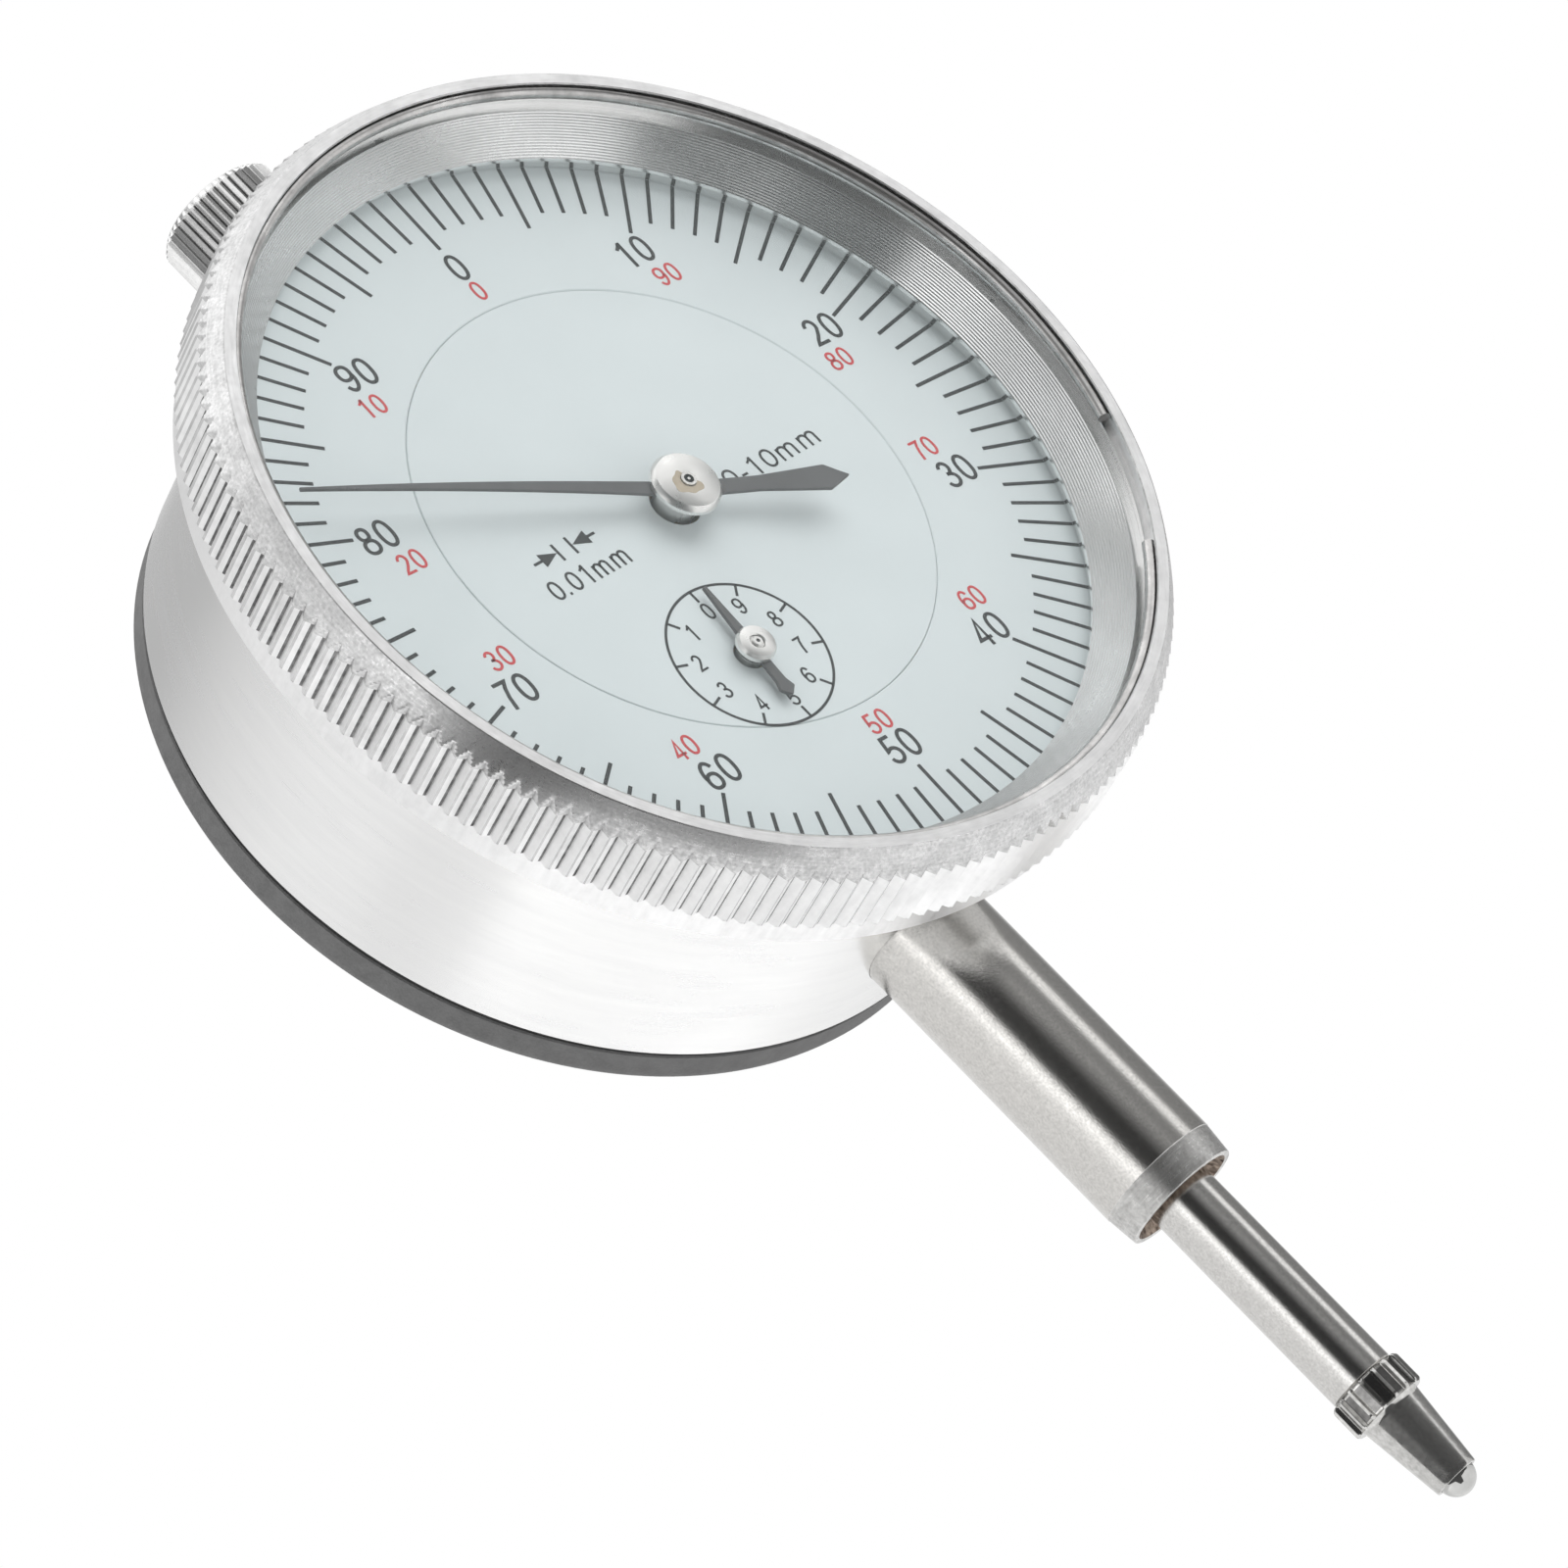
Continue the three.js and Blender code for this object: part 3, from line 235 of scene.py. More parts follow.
def crystal_clear():
    material, tree, surface = new_material("crystal_clear")
    surface.inputs["Alpha"].default_value = 0.07
    surface.inputs["IOR"].default_value = 1.45
    haze = noise(tree, place(tree), 0.2 / MM, 2.0)
    tint = blended(tree, mapped(tree, haze, 0, 1), (0.36, 0.40, 0.40), (0.46, 0.50, 0.50))
    put(tree, surface.inputs["Base Color"], tint)
    put(tree, surface.inputs["Roughness"], mapped(tree, haze, 0.02, 0.05))
    return material


looks = {
    "knurl": metal("bezel_knurl", grey(0.97), grey(0.86), 0.45, dial_lines(0.4, 2.0, 60.0), 0.003,
                   mottle=0.2),
    # Painted shade: a slightly darker, rougher copy of the knurl for one side of each tooth.
    "knurl_shaded_side": metal("bezel_knurl_shaded_side", grey(0.97), grey(0.84), 0.55, dial_lines(0.4, 2.0, 60.0), 0.003,
                        mottle=0.2),
    # Painted shade: a grey line along each tooth's crest.
    "crest": metal("bezel_knurl_crest_shade", grey(0.70), grey(0.52), 0.4, dial_lines(0.6, 2.0, 90.0), 0.003,
                   mottle=0.4),
    # Painted shade: dark lines in the knurl's valleys, also used for the shadow under the lip and in the
    # recess of the takeup arbor's end.
    "valley": metal("bezel_knurl_valley_shade", grey(0.30), grey(0.08), 0.4, dial_lines(0.6, 2.0, 90.0), 0.006,
                    mottle=1.0, speck=0.3),
    "chamfer": metal("bezel_chamfer", grey(0.78), grey(0.48), 0.3, dial_lines(4.0, 6.0, 12.0), 0.006,
                     mottle=0.8, grain=5.0, speck=0.4),
    "lip": metal("bezel_lip", grey(0.95), grey(0.84), 0.5, dial_lines(0.0, 8.0, 20.0), 0.004),
    "edge": metal("bezel_inner_edge", grey(0.66), grey(0.44), 0.4, dial_lines(9.0, 9.0, 90.0), 0.004,
                  mottle=0.4),
    "cone": metal("bezel_cone", (0.97, 0.97, 0.965), (0.92, 0.92, 0.915), 0.2, dial_lines(6.0, 6.0, 5.0),
                  0.001, mottle=0.05),
    # Painted shade on one flank of each of the cone's turned lines.
    "cone_shade_line": metal("bezel_cone_shade_line", grey(0.60), grey(0.48), 0.3, dial_lines(6.0, 6.0, 5.0), 0.001,
                       mottle=0.05),
    "case": metal("case_metal", (0.90, 0.90, 0.895), grey(0.84), 0.24, dial_lines(1.2, 0.0, 3.0), 0.0003,
                  mottle=0.04, speck=0.05),
    "stem": metal("stem_steel", (0.74, 0.725, 0.70), (0.56, 0.55, 0.53), 0.17, stem_lines(5.0, 60.0), 0.006,
                  mottle=2.0, grain=6.0, speck=0.45),
    "stem_end": metal("stem_end_turned", (0.80, 0.795, 0.78), (0.40, 0.395, 0.385), 0.3,
                      stem_lines(60.0, 1.0), 0.012, mottle=3.0),
    "bore": metal("stem_bore_rough", (0.42, 0.34, 0.28), (0.07, 0.05, 0.04), 0.5, stem_lines(3.0, 14.0), 0.06,
                  mottle=2.0, speck=0.4),
    "spindle": metal("spindle_steel", (0.74, 0.73, 0.71), (0.56, 0.55, 0.535), 0.16, stem_lines(6.0, 60.0),
                     0.004, mottle=2.0, grain=6.0, speck=0.45),
    "point": metal("point_steel", (0.72, 0.715, 0.70), (0.50, 0.495, 0.48), 0.14, plain_grain, 0.003,
                   mottle=1.5, grain=3.0, speck=0.5),
    # Painted shade: a dark steel for the flat floors of the point's flutes.
    "flute": metal("point_flute_shade", (0.34, 0.335, 0.33), (0.16, 0.158, 0.155), 0.2, plain_grain, 0.006,
                   mottle=1.5),
    "ball": metal("ball_steel", (0.60, 0.60, 0.59), (0.50, 0.50, 0.49), 0.06, plain_grain, 0.0005,
                  mottle=0.8),
    "cap": metal("cap_aluminium", (0.91, 0.91, 0.905), grey(0.72), 0.25, stem_lines(4.0, 50.0), 0.004),
    # Painted shade for the valleys of the cap's knurl.
    "cap_valley_shade": metal("cap_valley_shade", (0.30, 0.30, 0.295), grey(0.12), 0.4, stem_lines(4.0, 50.0), 0.006),
    "wire": metal("snap_ring_steel", (0.72, 0.71, 0.70), (0.36, 0.355, 0.35), 0.3, dial_lines(5.0, 5.0, 6.0),
                  0.006),
    "screw": metal("screw_steel", (0.70, 0.70, 0.69), grey(0.48), 0.3, plain_grain, 0.004, mottle=0.8),
    "hub": metal("hub_steel", (0.93, 0.92, 0.90), (0.86, 0.85, 0.83), 0.3, plain_grain, 0.002, mottle=0.8),
    "brass": metal("movement_brass", (0.83, 0.66, 0.33), (0.62, 0.46, 0.20), 0.32, plain_grain, 0.003,
                   mottle=0.4),
    "bronze": metal("bush_bronze", (0.66, 0.45, 0.25), (0.42, 0.27, 0.14), 0.4, stem_lines(5.0, 6.0), 0.006),
    "spring": metal("spring_steel", (0.60, 0.59, 0.57), (0.42, 0.41, 0.40), 0.25, plain_grain, 0.002,
                    mottle=0.8),
    "cover": painted("cover_paint", grey(0.105), grey(0.055), 0.55, 0.9, 0.02, speckle=0.5),
    "rubber": painted("seal_rubber", grey(0.03), grey(0.015), 0.8, 1.0, 0.02, speckle=0.5),
    "pointer": painted("pointer_paint", (0.095, 0.095, 0.098), (0.06, 0.06, 0.062), 0.42, 1.0, 0.006,
                       speckle=0.4),
    "dial": painted("dial_paint", (0.640, 0.700, 0.710), (0.615, 0.675, 0.685), 0.4, 0.12, 0.002,
                    speckle=0.15),
    "black": painted("print_black", (0.018, 0.019, 0.021), (0.010, 0.011, 0.012), 0.5, 2.0, 0.003,
                     speckle=0.4),
    "red": painted("print_red", (0.60, 0.040, 0.048), (0.50, 0.030, 0.036), 0.5, 2.0, 0.003, speckle=0.4),
    "glue": painted("thread_lock", (0.50, 0.43, 0.33), (0.34, 0.28, 0.20), 0.3, 1.6, 0.02, speckle=0.3),
    "crystal": crystal_clear(),
}

SLOT_LOOKS = {
    "case_metal": "case", "cover_paint": "cover", "seal_rubber": "rubber", "screw_steel": "screw",
    "stem_steel": "stem", "bush_bronze": "bronze", "bezel_aluminium": "knurl", "spindle_steel": "spindle",
    "ball_steel": "ball", "movement_brass": "brass", "spring_steel": "spring", "pointer_paint": "pointer",
    "dial_paint": "dial", "crystal_clear": "crystal",
}

for part in frame["record"]["subparts"]:
    data = frame["nodes"][part["node"]].data
    data.materials.clear()
    data.materials.append(looks[SLOT_LOOKS[part["material_slot"]]])


# ---------- mesh helpers ----------
def signed_volume(points, faces):
    total = 0.0
    for face in faces:
        corner = points[face[0]]
        for second, third in zip(face[1:-1], face[2:]):
            total += float(np.dot(corner, np.cross(points[second], points[third])))
    return total


def mesh_piece(name, points, faces, names, face_looks=None, sharp=32):
    """A closed mesh with its faces turned outwards and its hard edges kept sharp."""
    points = np.asarray(points, dtype=float)
    if signed_volume(points, faces) < 0:
        faces = [tuple(reversed(face)) for face in faces]
    mesh = bpy.data.meshes.new(name)
    mesh.from_pydata((points * MM).tolist(), [], faces)
    for look in names:
        mesh.materials.append(looks[look])
    if face_looks is not None:
        mesh.polygons.foreach_set("material_index", face_looks)
    mesh.shade_smooth()
    mesh.set_sharp_from_angle(angle=math.radians(sharp))
    piece = bpy.data.objects.new(name, mesh)
    bpy.context.scene.collection.objects.link(piece)
    return piece


def lathe(profile, axis="Y", centre=DIAL_AXIS, segments=192, wave=None):
    """Points, faces and look numbers of a piece turned from (radius, along, look) corners.

    A profile that starts at radius 0 also ends there, and any other closes on itself.
    wave(angles, radius, along) may change a ring's radius round the turn.
    """
    angles = np.linspace(0, 2 * math.pi, segments, endpoint=False)
    sines, cosines = np.sin(angles), np.cos(angles)
    points, rings, numbers = [], [], []
    for corner in profile:
        radius, along = corner[0], corner[1]
        if radius == 0:
            rings.append([len(points)])
            across = [(centre[0], centre[1])]
        else:
            radii = np.full(segments, float(radius)) if wave is None else wave(angles, radius, along)
            rings.append(list(range(len(points), len(points) + segments)))
            across = zip(centre[0] + radii * sines, centre[1] + radii * cosines)
        for first, second in across:
            points.append((first, along, second) if axis == "Y" else (first, second, along))
    faces = []
    closes = profile[0][0] != 0
    pairs = len(rings) if closes else len(rings) - 1
    for i in range(pairs):
        near, far = rings[i], rings[(i + 1) % len(rings)]
        look = profile[i][2] if len(profile[i]) > 2 else 0
        for j in range(segments):
            k = (j + 1) % segments
            if len(near) == 1 and len(far) == 1:
                continue
            if len(near) == 1:
                faces.append((near[0], far[k], far[j]))
            elif len(far) == 1:
                faces.append((near[j], near[k], far[0]))
            else:
                faces.append((near[j], near[k], far[k], far[j]))
            numbers.append(look)
    return points, faces, numbers


STEADY_REACH = 0.25  # how far inside the ends of a face the added corners stand
STEADY_FROM = 1.5  # length of the shortest face that gets them


def steady(profile):
    """Adds a corner just inside each end of a long face, so that its shading stays straight."""
    corners = []
    closes = profile[0][0] != 0
    for i, start in enumerate(profile):
        corners.append(start)
        if i == len(profile) - 1 and not closes:
            break
        end = profile[(i + 1) % len(profile)]
        length = math.dist(start[:2], end[:2])
        if length < STEADY_FROM or start[0] == 0 or end[0] == 0:
            continue
        for share in (STEADY_REACH / length, 1 - STEADY_REACH / length):
            radius = start[0] + (end[0] - start[0]) * share
            corners.append((radius, start[1] + (end[1] - start[1]) * share, *start[2:]))
    return corners


def turned(name, profile, names, sharp=32, **settings):
    points, faces, numbers = lathe(steady(profile), **settings)
    return mesh_piece(name, points, faces, names, numbers, sharp)


def settle(piece, body, slot, *nodes):
    """Hangs a piece on its body and hides the CAD nodes that it stands for. Its slot is not used."""
    if nodes:
        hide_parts(*nodes)
    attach(piece, body)
    return piece


def tube_faces(sections, sides):
    """The faces between sections with a number of corners each, and the two flat ends."""
    faces = []
    for i in range(sections - 1):
        for j in range(sides):
            k = (j + 1) % sides
            faces.append((i * sides + j, i * sides + k, (i + 1) * sides + k, (i + 1) * sides + j))
    last = (sections - 1) * sides
    return faces + [tuple(range(sides)), tuple(last + j for j in reversed(range(sides)))]


def cut(piece, cutter):
    """Takes the cutter's shape out of the piece and removes the cutter."""
    modifier = piece.modifiers.new("cut", "BOOLEAN")
    modifier.operation = "DIFFERENCE"
    modifier.solver = "EXACT"
    modifier.object = cutter
    graph = bpy.context.evaluated_depsgraph_get()
    mesh = bpy.data.meshes.new_from_object(piece.evaluated_get(graph))
    piece.modifiers.clear()
    piece.data = mesh
    bpy.data.objects.remove(cutter)
    mesh.shade_smooth()
    mesh.set_sharp_from_angle(angle=math.radians(32))


# ---------- camera, light and floor ----------
CAMERA_PLACE = Vector((-247.6, -262.1, -57.3)) * MM
CAMERA_FORWARD = Vector((0.6662, 0.7040, 0.2461)).normalized()
CAMERA_UP = Vector((0.3880, -0.6090, 0.6918))
CAMERA_LENS = 144.4
FLOOR_DROP = 0.14  # the indicator is held in the air by its stem, this far over the floor


def add_camera():
    data = bpy.data.cameras.new("camera")
    data.lens = CAMERA_LENS
    data.sensor_width = 36.0
    data.clip_start = 0.01
    camera = bpy.data.objects.new("camera", data)
    right = CAMERA_FORWARD.cross(CAMERA_UP).normalized()
    up = right.cross(CAMERA_FORWARD)
    turn = Matrix((right, up, -CAMERA_FORWARD)).transposed().to_4x4()
    camera.matrix_world = Matrix.Translation(CAMERA_PLACE) @ turn
    bpy.context.scene.collection.objects.link(camera)
    bpy.context.scene.camera = camera


def add_softbox(name, place_m, target_m, size, watts):
    data = bpy.data.lights.new(name, "AREA")
    data.shape = "RECTANGLE"
    data.size, data.size_y = size
    data.energy = watts
    lamp = bpy.data.objects.new(name, data)
    aim = Vector(target_m) - Vector(place_m)
    lamp.rotation_euler = aim.to_track_quat("-Z", "Y").to_euler()
    lamp.location = place_m
    lamp.visible_camera = False
    lamp.visible_glossy = False
    bpy.context.scene.collection.objects.link(lamp)


CAMERA_SIDE = math.radians(-134)  # the heading of the camera, seen from the indicator
WALL_PEAK = 1.7  # the brightest spot of the walls
CEILING = 1.4  # the brightness overhead
LOW_WALLS_END = (0.22, 0.40)  # how steeply a ray climbs where the low walls go over into the high ones
HIGH_WALLS_END = (0.78, 0.92)  # and where those go over into the ceiling
# Brightness of the walls by heading, in degrees from the camera's side.
LOW_WALLS = [(-180, 0.90), (-120, 0.90), (-60, 0.95), (-40, 1.10), (-27, 1.70), (-17, 1.20), (-9, 0.05),
             (20, 0.03), (30, 0.12), (50, 0.34), (64, 0.24), (79, 0.28), (83, 1.15), (97, 1.15), (102, 0.28),
             (150, 0.26), (174, 0.85)]
HIGH_WALLS = [(-180, 0.90), (-168, 0.50), (-130, 0.48), (-108, 0.72), (-92, 0.95), (-30, 1.00), (-14, 0.30),
              (20, 0.28), (40, 1.00), (75, 1.10), (90, 1.50), (105, 1.10), (180, 0.95)]


def walls(tree, share, levels):
    node = shader(tree, "ShaderNodeValToRGB", {"Fac": share})
    ramp = node.color_ramp
    ramp.elements.remove(ramp.elements[1])
    for i, (degrees, level) in enumerate(levels):
        at = degrees / 360 + 0.5
        stop = ramp.elements[0] if i == 0 else ramp.elements.new(at)
        stop.position = at
        stop.color = (*grey(level / WALL_PEAK), 1)
    return node.outputs["Color"]


def tier(tree, height, start, end, below, above):
    """Goes over from one colour to another between two heights."""
    node = shader(tree, "ShaderNodeMix", data_type="RGBA")
    put(tree, node.inputs[0], mapped(tree, height, 0, 1, start, end))
    put(tree, node.inputs[6], below)
    put(tree, node.inputs[7], above)
    return node.outputs[2]


def add_world():
    """A pale room that is dark on the camera's side, so that round metal shows its shape."""
    world = bpy.data.worlds.new("room")
    bpy.context.scene.world = world
    world.use_nodes = True
    tree = world.node_tree
    tree.nodes.clear()
    direction = shader(tree, "ShaderNodeTexCoord").outputs["Generated"]
    split = shader(tree, "ShaderNodeSeparateXYZ", {0: direction})
    heading = maths(tree, "ARCTAN2", split.outputs["Y"], split.outputs["X"])
    from_camera = maths(tree, "SUBTRACT", heading, CAMERA_SIDE)
    inputs = {0: from_camera, 1: math.pi, 2: -math.pi}
    turn = shader(tree, "ShaderNodeMath", inputs, operation="WRAP").outputs[0]
    share = maths(tree, "ADD", maths(tree, "DIVIDE", turn, 2 * math.pi), 0.5)
    height = split.outputs["Z"]
    room = tier(tree, height, *LOW_WALLS_END, walls(tree, share, LOW_WALLS), walls(tree, share, HIGH_WALLS))
    room = tier(tree, height, *HIGH_WALLS_END, room, (*grey(CEILING / WALL_PEAK), 1))
    lit = shader(tree, "ShaderNodeBackground", {"Color": room, "Strength": WALL_PEAK})
    seen = shader(tree, "ShaderNodeBackground", {"Color": (1, 1, 1, 1), "Strength": 1.0})
    is_seen = shader(tree, "ShaderNodeLightPath").outputs["Is Camera Ray"]
    mix = shader(tree, "ShaderNodeMixShader", {0: is_seen, 1: lit.outputs[0], 2: seen.outputs[0]})
    output = shader(tree, "ShaderNodeOutputWorld")
    tree.links.new(mix.outputs[0], output.inputs["Surface"])


def add_floor():
    level = cad_box[0][2] - FLOOR_DROP
    bpy.ops.mesh.primitive_plane_add(size=8, location=(0, 0, level))
    floor = bpy.context.object
    floor.name = "floor"
    material, tree, surface = new_material("floor_paper")
    clouds = noise(tree, place(tree), 3.0, 3.0)
    put(tree, surface.inputs["Base Color"], blended(tree, clouds, grey(0.30), grey(0.34)))
    surface.inputs["Roughness"].default_value = 0.9
    surface.inputs["Emission Color"].default_value = (1, 1, 1, 1)
    surface.inputs["Emission Strength"].default_value = 0.5
    floor.data.materials.append(material)


def add_card(name, points, faces, shade):
    """A matt card that is only seen mirrored in the metal, as the dark cards of a photo studio are."""
    mesh = bpy.data.meshes.new(name)
    mesh.from_pydata(points, [], faces)
    material, tree, surface = new_material(name)
    surface.inputs["Base Color"].default_value = (*grey(shade), 1)
    surface.inputs["Roughness"].default_value = 1.0
    mesh.materials.append(material)
    card = bpy.data.objects.new(name, mesh)
    bpy.context.scene.collection.objects.link(card)
    for kind in ("camera", "diffuse", "transmission", "shadow"):
        setattr(card, f"visible_{kind}", False)


# Distance from the middle in metres, then the first and last heading in degrees from the camera's side.
DARK_FLOOR = [(0.09, -12, 20), (0.30, -22, 26), (0.55, -50, 60), (0.90, -62, 84), (3.50, -66, 90)]


def add_dark_floor():
    """Dark paper on the floor of the camera's side, wider further out."""
    level = cad_box[0][2] - FLOOR_DROP + 0.002
    steps = 12
    points = []
    for distance, first, last in DARK_FLOOR:
        for i in range(steps + 1):
            heading = CAMERA_SIDE + math.radians(first + (last - first) * i / steps)
            points.append((distance * math.cos(heading), distance * math.sin(heading), level))
    faces = []
    for row in range(len(DARK_FLOOR) - 1):
        for i in range(steps):
            corner = row * (steps + 1) + i
            faces.append((corner, corner + 1, corner + steps + 2, corner + steps + 1))
    add_card("dark_floor_card", points, faces, 0.05)


bpy.context.scene.view_settings.view_transform = "Standard"
add_camera()
add_world()
add_floor()
add_dark_floor()
middle = (0, 0, DIAL_Z * MM)
add_softbox("key", (0.20, -0.50, 0.30), middle, (0.55, 0.55), 2.2)
add_softbox("top", (0.0, 0.05, 0.55), middle, (0.5, 0.5), 1.6)
add_softbox("side", (-0.42, 0.25, 0.10), middle, (0.30, 0.40), 1.6)
add_softbox("under", (0.10, 0.25, -0.12), (0, 0, 0.03), (0.3, 0.3), 0.8)


# ---------- bezel ----------
TEETH = 180
TOOTH_DEPTH = 0.42
TOOTH_STEPS = 8  # facets across one tooth, the first half on one side and the rest on the other
BAND = CREST - 0.6  # radius of the plain band behind the knurl
KNURL_REAR = -9.8
KNURL_FRONT = -13.9
CHAMFER_REAR = -14.0
TEETH_END = -14.8  # where the chamfer has cut the teeth away
LIP_OUTER = 29.3
LIP_INNER = 28.56
GROOVE = 28.94  # radius of the groove for the snap ring
SEAT = 28.5  # radius of the crystal's seat
CONE_LOW = (26.05, -11.9)
CONE_HIGH = (27.95, crystal_high[1])
CONE_LINES = 16
CONE_FOOT = 26.5  # radius of the cone's foot on the dial
BEZEL_BORE = 27.08
TRACK_RADIUS = 27.55  # of the bezel's half of the groove for the wire that holds it on the case
TRACK_FRONT = -9.4
TRACK_REAR = -8.3
# The teeth's shaded side, the valley and crest lines and the cone's lines are looks of painted shade.
BEZEL_LOOKS = ["knurl", "chamfer", "lip", "edge", "cone", "knurl_shaded_side", "valley", "cone_shade_line", "crest"]
KNURL, CHAMFER, LIP, EDGE, CONE, KNURL_SHADED_SIDE, VALLEY_SHADE, CONE_SHADE_LINE, CREST_SHADE_LINE = range(len(BEZEL_LOOKS))


def knurl(angles, radius, along):
    """Straight V teeth, which the chamfer in front of them cuts through."""
    if radius < BAND or along > KNURL_REAR:
        return np.full(len(angles), float(radius))
    place_in_tooth = (angles * TEETH / (2 * math.pi)) % 1.0
    height = np.abs(place_in_tooth - 0.5) * 2
    return np.minimum(radius, CREST - TOOTH_DEPTH * (1 - height))


def chamfer_corner(along, look=CHAMFER):
    """A corner of the slightly bulging chamfer between the knurl and the lip."""
    share = (along - LIP_FRONT) / (CHAMFER_REAR - LIP_FRONT)
    bulge = 0.05 * math.sin(math.pi * min(max(share, 0), 1))
    return min(CREST, LIP_OUTER + (CREST - LIP_OUTER) * share + bulge), along, look


def on_cone(share):
    return [low + (high - low) * share for low, high in zip(CONE_LOW, CONE_HIGH)]


def bezel_profile():
    """From the bore over the band, the knurl, the chamfer and the lip, and down the cone to the bore."""
    profile = [(BEZEL_BORE, BEZEL_REAR), (BAND - 0.12, BEZEL_REAR), (BAND, BEZEL_REAR - 0.12)]
    profile += [(BAND, KNURL_REAR + 0.02), (CREST - 0.1, KNURL_REAR - 0.02), (CREST, KNURL_REAR - 0.14)]
    profile = [(*corner, KNURL) for corner in profile + [(CREST, KNURL_FRONT)]]
    profile.append(chamfer_corner(CHAMFER_REAR, KNURL))
    profile += [chamfer_corner(CHAMFER_REAR + (TEETH_END - CHAMFER_REAR) * i / 14) for i in range(1, 15)]
    profile += [chamfer_corner(TEETH_END + (LIP_FRONT + 0.04 - TEETH_END) * i / 5) for i in range(1, 6)]
    profile += [(LIP_OUTER - 0.05, LIP_FRONT, LIP), (LIP_INNER, LIP_FRONT, EDGE)]
    # The groove wall just under the lip takes the dark valley look, as a painted shadow line.
    profile += [(SEAT, LIP_FRONT + 0.1, EDGE), (GROOVE, LIP_FRONT + 0.14, VALLEY_SHADE)]
    profile += [(GROOVE, LIP_FRONT + 0.34, LIP), (GROOVE, crystal_low[1], CONE)]
    profile += [(SEAT, crystal_low[1], CONE), (SEAT, crystal_high[1], CONE)]
    # The second flank of each turned line takes the darker cone-line look, as painted shade.
    for i in range(CONE_LINES, 0, -1):
        radius, along = on_cone((i - 0.5) / CONE_LINES)
        profile += [(*on_cone(i / CONE_LINES), CONE), (radius + 0.015, along + 0.0135, CONE_SHADE_LINE)]
    profile += [(*CONE_LOW, CONE), (CONE_LOW[0], CONE_LOW[1] + 0.25, CONE)]
    ending = [(CONE_FOOT, DIAL_FRONT - 0.05), (BEZEL_BORE, DIAL_FRONT - 0.05), (BEZEL_BORE, TRACK_FRONT)]
    ending += [(TRACK_RADIUS, TRACK_FRONT), (TRACK_RADIUS, TRACK_REAR), (BEZEL_BORE, TRACK_REAR)]
    return profile + [(*corner, KNURL) for corner in ending]


def tooth_look(step):
    """The look of a tooth's facet. One side is a slightly darker, rougher copy of the other, as painted
    shade, and the sides meet in fine painted shade lines, dark in the valley and paler on the crest.
    """
    half = TOOTH_STEPS // 2
    if step == TOOTH_STEPS - 1:
        return CREST_SHADE_LINE
    if step == half:
        return VALLEY_SHADE
    return KNURL_SHADED_SIDE if step > half else KNURL


def bezel_body():
    profile = bezel_profile()
    count = TEETH * TOOTH_STEPS
    points, faces, numbers = lathe(profile, segments=count, wave=knurl)
    # The knurl's facets take their looks from tooth_look, with painted shade on one side and in the lines
    # between the sides.
    for i, corner in enumerate(profile):
        following = profile[(i + 1) % len(profile)]
        if corner[2] == KNURL and corner[0] >= CREST - 0.1 and following[0] > BAND:
            numbers[i * count:(i + 1) * count] = [tooth_look(j % TOOTH_STEPS) for j in range(count)]
    return mesh_piece("bezel_body", points, faces, BEZEL_LOOKS, numbers, sharp=22)


bezel = bezel_body()
settle(bezel, "outer_ring", "bezel_aluminium", "bezel")


# ---------- crystal and its snap ring ----------
crystal_radius = radius_of("crystal")
crystal = turned("crystal_disc", [
    (0, crystal_high[1]), (crystal_radius - 0.1, crystal_high[1]), (crystal_radius, crystal_high[1] - 0.1),
    (crystal_radius, crystal_low[1] + 0.1), (crystal_radius - 0.1, crystal_low[1]), (0, crystal_low[1]),
], ["crystal"])
settle(crystal, "outer_ring", "crystal_clear", "crystal")


def open_ring(name, radius, thick, depth, start, end, look):
    """A split ring of round wire, from one angle to another in degrees clockwise from the top."""
    steps, sides = 240, 20
    points = []
    for i in range(steps + 1):
        angle = math.radians(start + (end - start) * i / steps)
        for j in range(sides):
            turn = 2 * math.pi * j / sides
            out = radius + thick * math.cos(turn)
            across, up = out * math.sin(angle), DIAL_Z + out * math.cos(angle)
            points.append((across, depth + thick * math.sin(turn), up))
    return mesh_piece(name, points, tube_faces(steps + 1, sides), [look])


WIRE_START, WIRE_END = 132, 472  # the ring's gap lies at the lower right
wire_thick = (wire_high[1] - wire_low[1]) / 2
wire_radius = (wire_high[0] - wire_low[0]) / 2 - wire_thick
wire_depth = (wire_low[1] + wire_high[1]) / 2
snap_ring = open_ring("snap_ring", wire_radius, wire_thick, wire_depth, WIRE_START, WIRE_END, "wire")
settle(snap_ring, "outer_ring", "spring_steel", "crystal_snap_ring")


# ---------- dial ----------
INNER_DISC = radius_of("inner_dial")
RING_INNER = INNER_DISC + 0.03
RING_OUTER = radius_of("dial_ring")
dial_ring = turned("dial_ring_plate", [
    (RING_INNER, DIAL_BACK), (RING_OUTER, DIAL_BACK), (RING_OUTER, DIAL_FRONT),
    (RING_INNER + 0.09, DIAL_FRONT), (RING_INNER, DIAL_FRONT + 0.06),
], ["dial"])
settle(dial_ring, "outer_ring", "dial_paint", "dial_ring")

